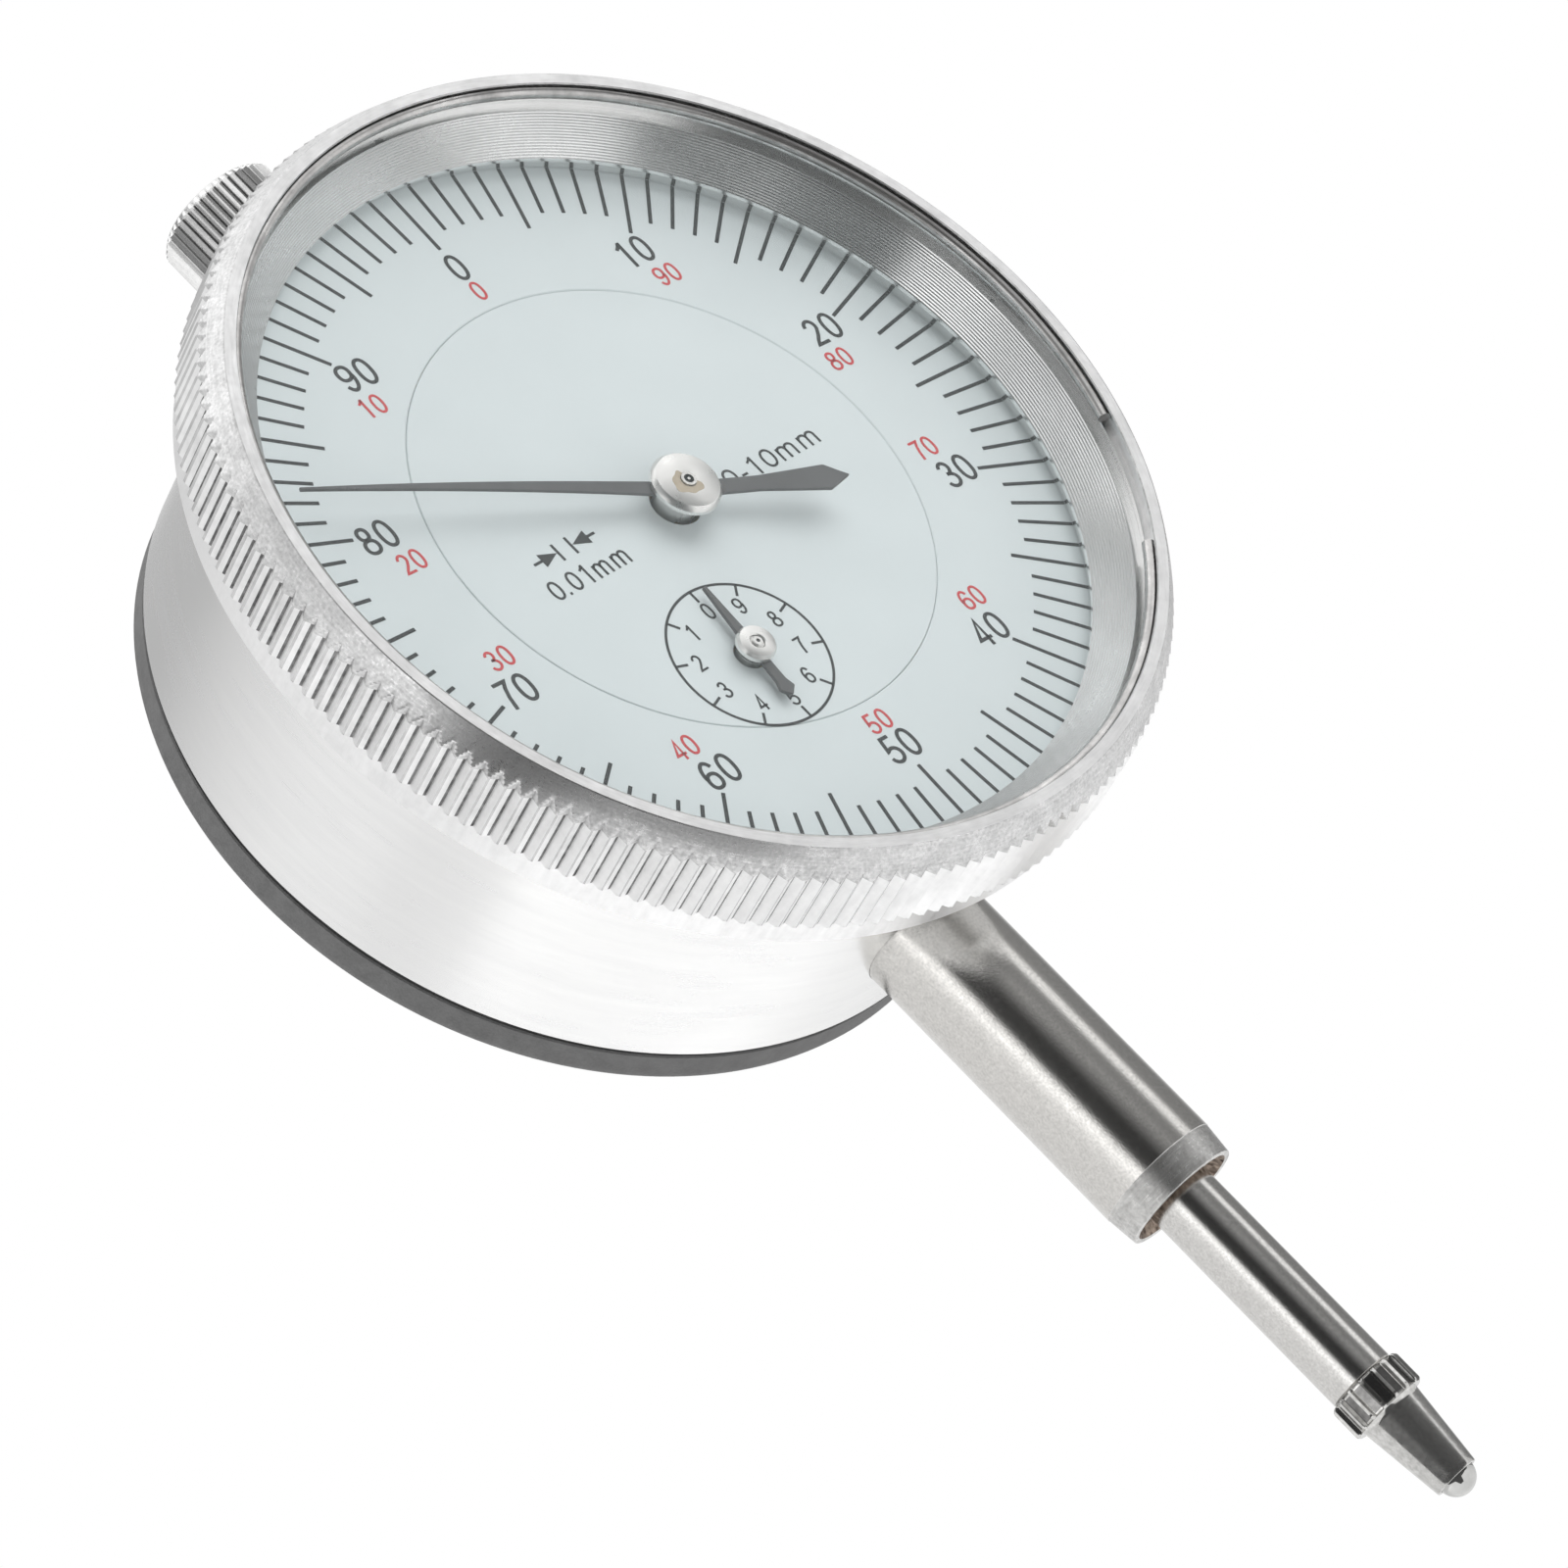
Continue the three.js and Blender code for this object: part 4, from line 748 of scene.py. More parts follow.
MAIN_HOLE, SMALL_HOLE = 1.65, 1.05  # radii of the holes for the two hubs
RIB_INNER, RIB_OUTER = 14.0, 15.5  # radii of the rib behind the inner disc
disc_back = box_mm("inner_dial")[1][1]
inner_disc = turned("inner_dial_plate", [
    (MAIN_HOLE, DIAL_FRONT), (INNER_DISC - 0.05, DIAL_FRONT), (INNER_DISC, DIAL_FRONT + 0.06),
    (INNER_DISC, DIAL_BACK), (RIB_OUTER, DIAL_BACK), (RIB_OUTER, disc_back), (RIB_INNER, disc_back),
    (RIB_INNER, DIAL_BACK), (MAIN_HOLE, DIAL_BACK),
], ["dial"])
small_hole = turned("small_hole", [
    (0, DIAL_FRONT - 1), (SMALL_HOLE, DIAL_FRONT - 1), (SMALL_HOLE, DIAL_BACK + 1), (0, DIAL_BACK + 1),
], ["dial"], centre=SMALL_AXIS, segments=48)
cut(inner_disc, small_hole)
settle(inner_disc, "body", "dial_paint", "inner_dial")


class Print:
    """Printed marks, gathered as thin closed solids on the dial's face."""

    FRONT = DIAL_FRONT - 0.02
    BACK = DIAL_FRONT + 0.01

    def __init__(self, centre=DIAL_AXIS, turn=0.0):
        self.centre, self.turn = centre, turn
        self.points, self.faces, self.looks = [], [], []

    def spot(self, x, z, depth):
        cosine, sine = math.cos(self.turn), math.sin(self.turn)
        return (self.centre[0] + x * cosine + z * sine, depth, self.centre[1] - x * sine + z * cosine)

    def prism(self, outline, look):
        """outline runs anticlockwise as seen from the front."""
        base, count = len(self.points), len(outline)
        self.points += [self.spot(x, z, self.FRONT) for x, z in outline]
        self.points += [self.spot(x, z, self.BACK) for x, z in outline]
        self.faces.append(tuple(base + i for i in range(count)))
        self.faces.append(tuple(base + count + i for i in reversed(range(count))))
        for i in range(count):
            k = (i + 1) % count
            self.faces.append((base + k, base + i, base + count + i, base + count + k))
        self.looks += [look] * (count + 2)

    def tick(self, angle, inner, outer, width, look=0):
        sine, cosine = math.sin(angle), math.cos(angle)
        half = width / 2
        corners = [(-half, inner), (half, inner), (half, outer), (-half, outer)]
        self.prism([(across * cosine + along * sine, -across * sine + along * cosine)
                    for across, along in corners], look)

    def line_faces(self, base, count, closed, look):
        """The faces round a printed line with four corners at each of its points, the first at base."""
        for i in range(count if closed else count - 1):
            k = (i + 1) % count
            for j in range(4):
                n = (j + 1) % 4
                self.faces.append((base + 4 * i + j, base + 4 * k + j, base + 4 * k + n, base + 4 * i + n))
                self.looks.append(look)

    def circle(self, radius, width, look=0, steps=120):
        base = len(self.points)
        inner, outer = radius - width / 2, radius + width / 2
        for i in range(steps):
            angle = 2 * math.pi * i / steps
            corners = [(inner, self.FRONT), (outer, self.FRONT), (outer, self.BACK), (inner, self.BACK)]
            for reach, depth in corners:
                self.points.append(self.spot(reach * math.sin(angle), reach * math.cos(angle), depth))
        self.line_faces(base, steps, True, look)

    def stroke(self, line, closed, half, look):
        """A line drawn with a pen of the given half width."""
        path = np.array(line, dtype=float)
        before = np.roll(path, 1, axis=0) if closed else np.vstack([2 * path[0] - path[1], path[:-1]])
        after = np.roll(path, -1, axis=0) if closed else np.vstack([path[1:], 2 * path[-1] - path[-2]])
        come = (path - before) / np.linalg.norm(path - before, axis=1)[:, None]
        leave = (after - path) / np.linalg.norm(after - path, axis=1)[:, None]
        mitre = come + leave
        mitre /= np.linalg.norm(mitre, axis=1)[:, None]
        reach = half / np.clip((mitre * come).sum(axis=1), 0.5, 1)
        side = np.stack([-mitre[:, 1], mitre[:, 0]], axis=1) * reach[:, None]
        left, right = path + side, path - side
        base, count = len(self.points), len(path)
        for i in range(count):
            corners = [(left[i], self.FRONT), (right[i], self.FRONT)]
            corners += [(right[i], self.BACK), (left[i], self.BACK)]
            for (x, z), depth in corners:
                self.points.append(self.spot(x, z, depth))
        self.line_faces(base, count, closed, look)
        if not closed:
            last = base + 4 * (count - 1)
            self.faces += [(base, base + 1, base + 2, base + 3), (last + 3, last + 2, last + 1, last)]
            self.looks += [look, look]

    def text(self, body, x, z, height, look=0, width=None):
        """Upright text centred on (x, z), as high as given and as wide as its letters or as given."""
        cursor, starts = 0.0, []
        for letter in body:
            starts.append(cursor)
            cursor += ADVANCE.get(letter, ADVANCE["0"])
        drawn = cursor - ADVANCE["0"] + STROKE + GLYPH_WIDTH
        if body[-1] == "m":
            drawn = cursor - ADVANCE["m"] + STROKE + M_WIDTH
        across = width / drawn if width else height * NARROW
        for letter, start in zip(body, starts):
            for line, closed in GLYPHS[letter]:
                drawn_line = [(x + (start + px + STROKE / 2 - drawn / 2) * across, z + (pz - 0.5) * height)
                              for px, pz in line]
                self.stroke(drawn_line, closed, STROKE * height / 2, look)

    def piece(self, name):
        mesh = bpy.data.meshes.new(name)
        mesh.from_pydata((np.array(self.points) * MM).tolist(), [], self.faces)
        for look in ("black", "red"):
            mesh.materials.append(looks[look])
        mesh.polygons.foreach_set("material_index", self.looks)
        piece = bpy.data.objects.new(name, mesh)
        bpy.context.scene.collection.objects.link(piece)
        return piece


# Lettering, in parts of a figure's height. Each letter is a list of (pen line, closed).
STROKE = 0.118
GLYPH_WIDTH = 0.5  # between the pen lines of a figure's sides
M_WIDTH = 0.76
NARROW = 0.87
ADVANCE = {"0": 0.777, "m": 1.15, ".": 0.36, "-": 0.465}
LOW, HIGH = STROKE / 2, 1 - STROKE / 2


def bow(centre, reach, start, end, steps=18):
    """Points along an ellipse, between two angles anticlockwise from the right."""
    return [(centre[0] + reach[0] * math.cos(math.radians(start + (end - start) * i / steps)),
             centre[1] + reach[1] * math.sin(math.radians(start + (end - start) * i / steps)))
            for i in range(steps + 1)]


def oval(centre, reach, steps=32):
    """A closed round line, a little squarer than an ellipse."""
    points = []
    for i in range(steps):
        turn = 2 * math.pi * i / steps
        cosine, sine = math.cos(turn), math.sin(turn)
        points.append((centre[0] + reach[0] * math.copysign(abs(cosine) ** 0.88, cosine),
                       centre[1] + reach[1] * math.copysign(abs(sine) ** 0.88, sine)))
    return points


six_back = bow((0.27, 0.50), (0.26, HIGH - 0.50), 35, 190)
arch = [(0, 0.40)] + bow((0.19, 0.48), (0.19, 0.21), 165, 0) + [(0.38, 0)]
GLYPHS = {
    "0": [(oval((0.25, 0.5), (0.25, HIGH - 0.5)), True)],
    "1": [([(0.31, 0), (0.31, 1)], False), ([(0.31, 0.97), (0.22, 0.85), (0.08, 0.76)], False)],
    "2": [(bow((0.25, 0.70), (0.22, HIGH - 0.70), 172, -25)
           + [(0.30, 0.38), (0.12, 0.20), (0.03, LOW), (0.53, LOW)], False)],
    "3": [(bow((0.23, 0.73), (0.20, HIGH - 0.73), 165, -80) + [(0.17, 0.53)], False),
          ([(0.17, 0.53)] + bow((0.24, 0.29), (0.25, 0.29 - LOW), 82, -168), False)],
    "4": [([(0.37, 0), (0.37, 0.95), (0.01, 0.28), (0.54, 0.28)], False)],
    "5": [([(0.47, HIGH), (0.12, HIGH), (0.05, 0.50)]
           + bow((0.24, 0.31), (0.26, 0.31 - LOW), 128, -168), False)],
    "6": [(oval((0.26, 0.31), (0.24, 0.31 - LOW)), True), (six_back, False)],
    "7": [([(0.0, HIGH), (0.50, HIGH), (0.36, 0.72), (0.25, 0.42), (0.18, 0)], False)],
    "8": [(oval((0.25, 0.745), (0.19, HIGH - 0.745)), True),
          (oval((0.25, 0.285), (0.25, 0.285 - LOW)), True)],
    "m": [([(0, 0), (0, 0.70)], False), (arch, False), ([(px + 0.38, pz) for px, pz in arch], False)],
    ".": [([(0.0, 0), (0.0, STROKE * 1.1)], False)],
    "-": [([(-0.04, 0.36), (0.24, 0.36)], False)],
}
GLYPHS["9"] = [([(GLYPH_WIDTH - px, 1 - pz) for px, pz in line], closed) for line, closed in GLYPHS["6"]]

TICK_OUTER, TICK_INNER, FIFTH_INNER = 26.5, 22.8, 21.65  # radii of the ticks' ends, longer at each fifth
TICK_WIDTH = 0.25
BLACK_RADIUS, BLACK_HEIGHT = 20.1, 2.07
RED_RADIUS, RED_HEIGHT = 18.8, 1.47
RED_RADIUS_AT_ENDS = 18.1  # at the top and the bottom of the dial
RED_LEAN = math.radians(6)  # elsewhere the red figures stand nearer the level of the dial's middle


def print_ring():
    marks = Print(turn=RING_TURN)
    for i in range(100):
        marks.tick(2 * math.pi * i / 100, TICK_INNER if i % 5 else FIFTH_INNER, TICK_OUTER, TICK_WIDTH)
    for tenth in range(10):
        angle = 2 * math.pi * tenth / 10
        x, z = BLACK_RADIUS * math.sin(angle), BLACK_RADIUS * math.cos(angle)
        marks.text(str(10 * tenth), x, z, BLACK_HEIGHT)
        radius = RED_RADIUS_AT_ENDS
        if tenth % 5:
            radius = RED_RADIUS
            angle += math.copysign(RED_LEAN, math.sin(2 * angle))
        x, z = radius * math.sin(angle), radius * math.cos(angle)
        marks.text(str(10 * (-tenth % 10)), x, z, RED_HEIGHT, look=1)
    return marks.piece("dial_ring_print")


WORDS_HEIGHT = 1.4
ARROW_LINE = 0.09  # half the width of the arrows' lines


def print_bar(marks, left, right, z, half):
    marks.prism([(left, z - half), (right, z - half), (right, z + half), (left, z + half)], 0)


def print_arrows(marks, z):
    """Two upright bars with an arrow pointing at each, as for the width of one graduation."""
    for x in (-9.55, -8.4):
        print_bar(marks, x - ARROW_LINE, x + ARROW_LINE, z, 0.65)
    for tip, base, end in ((-9.66, -10.93, -11.6), (-8.28, -7.0, -6.38)):
        corners = [(tip, z), (base, z + 0.5), (base, z - 0.5)]
        marks.prism(corners if base < tip else corners[::-1], 0)
        print_bar(marks, min(base, end), max(base, end), z, ARROW_LINE)


def print_disc():
    marks = Print()
    marks.text("0-10mm", 8.3, -0.36, WORDS_HEIGHT, width=8.2)
    marks.text("0.01mm", -8.95, -1.2, WORDS_HEIGHT, width=6.45)
    print_arrows(marks, 0.84)
    return marks.piece("inner_dial_print")


COUNTER_RADIUS = 5.2
COUNTER_TICK = 0.85  # length of its ticks
COUNTER_LINE = 0.17
COUNTER_FIGURES, COUNTER_HEIGHT = 3.6, 1.2  # the figures' distance from the centre, and their height


def print_counter():
    marks = Print(centre=SMALL_AXIS)
    marks.circle(COUNTER_RADIUS, COUNTER_LINE)
    for i in range(10):
        angle = -2 * math.pi * i / 10
        marks.tick(angle, COUNTER_RADIUS - COUNTER_TICK, COUNTER_RADIUS, COUNTER_LINE)
        x, z = COUNTER_FIGURES * math.sin(angle), COUNTER_FIGURES * math.cos(angle)
        marks.text(str(i), x, z, COUNTER_HEIGHT)
    return marks.piece("counter_print")


settle(print_ring(), "outer_ring", "dial_paint")
settle(print_disc(), "body", "dial_paint")
settle(print_counter(), "body", "dial_paint")


# ---------- pointers ----------
def blade(stations, turn, centre, back, thickness, lift):
    """A flat arm from (along, half width) stations, with its front edges broken."""
    points = []
    cosine, sine = math.cos(turn), math.sin(turn)
    for along, half in stations:
        rise = lift(along)
        soft = min(0.05, half * 0.4)
        section = [(-half, 0), (-half, thickness - soft), (-half + soft, thickness), (half - soft, thickness),
                   (half, thickness - soft), (half, 0)]
        for across, height in section:
            x = across * cosine + along * sine
            z = -across * sine + along * cosine
            points.append((centre[0] + x, back - rise - height, centre[1] + z))
    return points, tube_faces(len(stations), len(section))


def widths(table, steps):
    """Evenly spaced stations along a table of (along, half width) corners, corners included."""
    alongs = sorted({row[0] for row in table} | set(np.linspace(table[0][0], table[-1][0], steps)))
    xs, ys = zip(*table)
    return [(float(a), float(np.interp(a, xs, ys))) for a in alongs]


def joined(name, shapes, names, sharp=32):
    """One piece of several closed (points, faces, look number) shapes."""
    points, faces, numbers = [], [], []
    for shape_points, shape_faces, look in shapes:
        base = len(points)
        points += list(shape_points)
        shape_points = np.asarray(shape_points, dtype=float)
        if signed_volume(shape_points, shape_faces) < 0:
            shape_faces = [tuple(reversed(face)) for face in shape_faces]
        faces += [tuple(base + i for i in face) for face in shape_faces]
        numbers += [look] * len(shape_faces)
    return mesh_piece(name, points, faces, names, numbers, sharp)


def long_lift(along):
    """How far the long pointer rises towards the crystal, curved on its blade and straight on its tail."""
    outside = max(0.0, abs(along) - 2.2)
    return 0.075 * outside - 0.0018 * outside**2 if along > 0 else 0.09 * outside


LONG_TURN = math.radians(-64.1)
SHORT_TURN = math.radians(6.6)
POINTER_THICK = 0.2
LONG_BACK = DIAL_FRONT - 1.3
SHORT_BACK = DIAL_FRONT - 0.5
LONG_EYE, LONG_EYE_RIM = 1.37, 1.9  # radii of the hole that sits on the hub and of the metal round it
SHORT_EYE, SHORT_EYE_RIM = 0.87, 1.1
LONG_BLADE = [(1.45, 0.52), (2.2, 0.50), (5, 0.44), (10, 0.36), (15, 0.28), (20, 0.2), (24.97, 0.1)]
LONG_TAIL = [(-10.78, 0.04), (-9.4, 0.93), (-5, 0.55), (-2.2, 0.55), (-1.45, 0.56)]
SHORT_BLADE = [(0.92, 0.36), (1.3, 0.35), (4.78, 0.15)]
SHORT_TAIL = [(-3.68, 0.1), (-3.2, 0.58), (-2.6, 0.38), (-1.3, 0.35), (-0.92, 0.36)]


def pointer(name, arms, turn, centre, back, lift, inner, outer):
    """Two arms and the ring round the hub."""
    shapes = []
    for table in arms:
        points, faces = blade(widths(table, 24), turn, centre, back, POINTER_THICK, lift)
        shapes.append((points, faces, 0))
    front = back - POINTER_THICK + 0.003
    ring = [(inner, back), (outer, back), (outer, front), (inner, front)]
    points, faces, _ = lathe(ring, centre=centre, segments=64)
    shapes.append((points, faces, 0))
    return joined(name, shapes, ["pointer"])


long_pointer = pointer("long_pointer", (LONG_BLADE, LONG_TAIL), LONG_TURN, DIAL_AXIS, LONG_BACK,
                       long_lift, LONG_EYE, LONG_EYE_RIM)
settle(long_pointer, "long_hand", "pointer_paint", "main_pointer")
short_pointer = pointer("short_pointer", (SHORT_BLADE, SHORT_TAIL), SHORT_TURN, SMALL_AXIS, SHORT_BACK,
                        lambda along: 0.0, SHORT_EYE, SHORT_EYE_RIM)
settle(short_pointer, "short_hand", "pointer_paint", "small_pointer")


HUB_BORE = 0.52


def hub_profile(radius, front, back, sleeve, sleeve_end, bore, slope):
    """A hub with a sloping front edge, and behind it the sleeve that the pointer's eye sits on."""
    rim = radius - slope
    return [(bore, front + 0.06), (bore + 0.06, front), (rim, front), (rim + 0.02, front + 0.01),
            (radius - 0.04, front + slope + 0.02), (radius, front + slope + 0.08), (radius, back - 0.05),
            (radius - 0.05, back), (sleeve, back), (sleeve, sleeve_end), (bore, sleeve_end)]


main_hub = turned("long_pointer_hub", hub_profile(
    radius_of("main_hub"), main_hub_low[1], LONG_BACK - POINTER_THICK - 0.02, LONG_EYE - 0.02,
    main_hub_high[1], HUB_BORE, 0.25,
), ["hub"], segments=96)
settle(main_hub, "long_hand", "screw_steel", "main_hub")
small_hub = turned("short_pointer_hub", hub_profile(
    radius_of("small_hub"), small_hub_low[1], SHORT_BACK - POINTER_THICK - 0.02, SHORT_EYE - 0.02,
    small_hub_high[1], HUB_BORE - 0.05, 0.14,
), ["hub"], segments=72, centre=SMALL_AXIS)
settle(small_hub, "short_hand", "screw_steel", "small_hub")


def glue_smear():
    """A smear of thread lock round the end of the centre arbor, over part of the turn."""
    steps = 40
    front = main_hub_low[1]
    points = []
    for i in range(steps + 1):
        angle = math.radians(125 + 235 * i / steps)
        wobble = 0.10 * math.sin(3.1 * angle) + 0.06 * math.sin(7.3 * angle + 1)
        fade = math.sin(math.pi * i / steps) ** 0.35
        inner, outer = HUB_BORE, 0.58 + (0.52 + wobble) * fade
        for reach, depth in ((inner, front), (inner, front - 0.02), (outer, front - 0.012), (outer, front)):
            points.append((reach * math.sin(angle), depth, DIAL_Z + reach * math.cos(angle)))
    return mesh_piece("hub_glue", points, tube_faces(steps + 1, 4), ["glue"])


settle(glue_smear(), "long_hand", "pointer_paint")

arbor_front = box_mm("center_arbor")[0][1]
arbor_end = turned("center_arbor_end", [
    (0, arbor_front + 0.05), (0.07, arbor_front + 0.05), (0.1, arbor_front), (0.32, arbor_front),
    (0.42, arbor_front + 0.05), (0.46, arbor_front + 0.15), (0.46, arbor_front + 0.6), (0, arbor_front + 0.6),
], ["hub"], segments=48)
settle(arbor_end, "long_hand", "spindle_steel")

takeup_front = small_hub_low[1] - 0.03
# The recess in the arbor's end takes the dark valley look, as painted shade.
takeup_end = turned("takeup_arbor_end", [
    (0, takeup_front + 0.06, 0), (0.11, takeup_front + 0.06, 0), (0.13, takeup_front, 1),
    (0.30, takeup_front, 1), (0.35, takeup_front + 0.06, 1), (0.35, takeup_front + 0.5, 1),
    (0, takeup_front + 0.5, 1),
], ["valley", "hub"], segments=48, centre=SMALL_AXIS)
settle(takeup_end, "short_hand", "spindle_steel")


# ---------- case, gasket and cover ----------
CASE_BACK = case_high[1]
CASE_FRONT = case_low[1]
CASE_BORE = 25.2
CASE_MOUTH = 22.8  # radius of the opening in the front wall
CASE_WALL = -9.0  # the back of the front wall
CASE_TRACK = 26.4  # radius of the case's half of the groove for the bezel's wire
HOLES_END = 22  # how near to the dial's axis the holes through the case's side reach
CAP_NECK = 3.22
GASKET_INNER, GASKET_OUTER = 25.3, 26.75


def round_hole(low, high, radius):
    return turned("hole", [(0, low), (radius, low), (radius, high), (0, high)], ["case"], axis="Z",
                  centre=(0, 0), segments=96)


case = turned("case_body", [
    (CASE_BORE, CASE_BACK), (CASE_RADIUS - 0.15, CASE_BACK), (CASE_RADIUS, CASE_BACK - 0.15),
    (CASE_RADIUS, TRACK_REAR), (CASE_TRACK, TRACK_REAR), (CASE_TRACK, TRACK_FRONT),
    (CASE_RADIUS, TRACK_FRONT), (CASE_RADIUS, CASE_FRONT + 0.1), (CASE_RADIUS - 0.1, CASE_FRONT),
    (CASE_MOUTH, CASE_FRONT), (CASE_MOUTH, CASE_WALL), (CASE_BORE, CASE_WALL),
], ["case"], segments=256)
cut(case, round_hole(DIAL_Z - CASE_RADIUS - 2, DIAL_Z - HOLES_END, STEM_RADIUS + 0.02))
cut(case, round_hole(DIAL_Z + HOLES_END, DIAL_Z + CASE_RADIUS + 2, CAP_NECK))
settle(case, "body", "case_metal", "case")

gasket = turned("gasket_ring", [
    (GASKET_INNER, gasket_low[1]), (GASKET_OUTER, gasket_low[1]), (GASKET_OUTER, gasket_high[1]),
    (GASKET_INNER, gasket_high[1]),
], ["rubber"])
settle(gasket, "body", "seal_rubber", "cover_gasket")

COVER_RADIUS = radius_of("back_cover")
COVER_FRONT = cover_low[1]
COVER_BACK = 9.7
SCREW_NUMBERS = range(1, 5)


def screw_sizes(number):
    """A cover screw's place on the cover, the radius of its head, and its ends along the dial's axis."""
    low, high = box_mm(f"cover_screw_{number}")
    spot = ((low[0] + high[0]) / 2, (low[2] + high[2]) / 2)
    return spot, (high[0] - low[0]) / 2, low[1], high[1]


cover = turned("cover_plate", [
    (0, COVER_FRONT), (COVER_RADIUS - 0.1, COVER_FRONT), (COVER_RADIUS, COVER_FRONT + 0.1),
    (COVER_RADIUS, COVER_BACK - 0.35), (COVER_RADIUS - 0.1, COVER_BACK - 0.1),
    (COVER_RADIUS - 0.35, COVER_BACK), (0, COVER_BACK),
], ["cover"])
for number in SCREW_NUMBERS:
    spot, head, _, rear = screw_sizes(number)
    pocket = turned("pocket", [
        (0, rear - 1.0), (head + 0.2, rear - 1.0), (head + 0.2, COVER_BACK - 0.1),
        (head + 0.5, COVER_BACK + 0.2), (head + 0.5, COVER_BACK + 1), (0, COVER_BACK + 1),
    ], ["cover"], centre=spot, segments=64)
    cut(cover, pocket)
settle(cover, "body", "cover_paint", "back_cover")


LUG_END = 6.0  # radius of the eye's round end
LUG_HOLE = 3.25
LUG_HALF = 2.5  # half its thickness
LUG_ROOT = 7.5  # half its height where it meets the cover
LUG_EDGE = 0.25


def lug():
    """The mounting lug: a flat eye that stands on the cover, with its hole across."""
    centre_y = cover_high[1] - LUG_END
    outline = [(COVER_BACK - 0.4, LUG_ROOT), (COVER_BACK - 0.4, -LUG_ROOT)]
    outline += [(centre_y + LUG_END * math.cos(a), LUG_END * math.sin(a))
                for a in np.linspace(-math.pi / 2, math.pi / 2, 40)]
    hole = [(centre_y + LUG_HOLE * math.cos(a), LUG_HOLE * math.sin(a))
            for a in np.linspace(0, 2 * math.pi, 64, endpoint=False)]
    curve = bpy.data.curves.new("lug", "CURVE")
    curve.dimensions = "2D"
    curve.fill_mode = "BOTH"
    for loop in (outline, hole):
        spline = curve.splines.new("POLY")
        spline.points.add(len(loop) - 1)
        for point, (y, z) in zip(spline.points, loop):
            point.co = (y * MM, z * MM, 0, 1)
        spline.use_cyclic_u = True
    curve.extrude = (LUG_HALF - LUG_EDGE) * MM
    curve.bevel_depth = LUG_EDGE * MM
    curve.bevel_resolution = 2
    curve.offset = -LUG_EDGE * MM
    holder = bpy.data.objects.new("lug", curve)
    bpy.context.scene.collection.objects.link(holder)
    graph = bpy.context.evaluated_depsgraph_get()
    graph.update()
    mesh = bpy.data.meshes.new_from_object(holder.evaluated_get(graph))
    bpy.data.objects.remove(holder)
    standing = Matrix(((0, 0, 1, 0), (1, 0, 0, 0), (0, 1, 0, DIAL_Z * MM), (0, 0, 0, 1)))
    mesh.transform(standing)
    mesh.name = "lug_eye"
    mesh.materials.clear()
    mesh.materials.append(looks["cover"])
    mesh.polygons.foreach_set("material_index", [0] * len(mesh.polygons))
    mesh.shade_smooth()
    mesh.set_sharp_from_angle(angle=math.radians(35))
    piece = bpy.data.objects.new("lug_eye", mesh)
    bpy.context.scene.collection.objects.link(piece)
    return piece


settle(lug(), "body", "cover_paint", "back_cover")

for number in SCREW_NUMBERS:
    spot, head, front, rear = screw_sizes(number)
    seat = rear - 0.9
    screw = turned(f"cover_screw_body_{number}", [
        (0, front), (0.6, front), (0.8, front + 0.2), (0.8, seat), (head, seat), (head, rear - 0.3),
        (head - 0.12, rear - 0.1), (head - 0.4, rear), (0, rear),
    ], ["screw"], centre=spot, segments=64)
    slot_points = [(spot[0] + x, y, spot[1] + z) for x in (-3, 3) for y in (rear - 0.42, rear + 1)
                   for z in (-0.28, 0.28)]
    slot_faces = [(0, 1, 3, 2), (4, 6, 7, 5), (0, 4, 5, 1), (2, 3, 7, 6), (0, 2, 6, 4), (1, 5, 7, 3)]
    cut(screw, mesh_piece("slot", slot_points, slot_faces, ["screw"]))
    settle(screw, "body", "screw_steel", f"cover_screw_{number}")


# ---------- stem, bush and cap ----------
def round_z(name, profile, names, segments=128, **settings):
    return turned(name, profile, names, axis="Z", centre=(0, 0), segments=segments, **settings)


STEM_BORE = radius_of("lower_bush") + 0.02
STEM_TOP = stem_high[2]
STEM_MOUTH = 3.42  # radius at the end, where the rough bore widens
STEM_FACE = 3.74
STEM_TAPER = 2.02  # height at which the slightly narrower end gives way to the full width
stem = round_z("stem_tube", [
    (STEM_BORE, 1.1, 1), (3.05, 0.75, 2), (STEM_MOUTH, 0.03, 1), (STEM_MOUTH + 0.08, 0.0, 1),
    (STEM_FACE, 0.0, 1), (STEM_FACE + 0.05, 0.06, 1), (STEM_RADIUS - 0.03, STEM_TAPER - 0.05, 1),
    (STEM_RADIUS, STEM_TAPER, 0), (STEM_RADIUS, STEM_TOP, 0), (STEM_BORE, STEM_TOP, 0),
], ["stem", "stem_end", "bore"], sharp=20)
settle(stem, "body", "stem_steel", "stem")

bush_low, bush_high = box_mm("lower_bush")
BUSH_BORE = SPINDLE_RADIUS + 0.05
lower_bush = round_z("lower_bush_tube", [
    (BUSH_BORE, bush_low[2] + 0.2), (BUSH_BORE + 0.2, bush_low[2]), (STEM_BORE - 0.02, bush_low[2]),
    (STEM_BORE - 0.02, bush_high[2]), (BUSH_BORE, bush_high[2]),
], ["bore"], segments=96)
settle(lower_bush, "body", "bush_bronze", "lower_bush")

CAP_TEETH = 44
CAP_TOOTH_DEPTH = 0.3
CAP_BORE = 2.6
CAP_STEP = 80.2  # height at which the bore gives way to the wider neck
CAP_RADIUS = radius_of("top_cap")


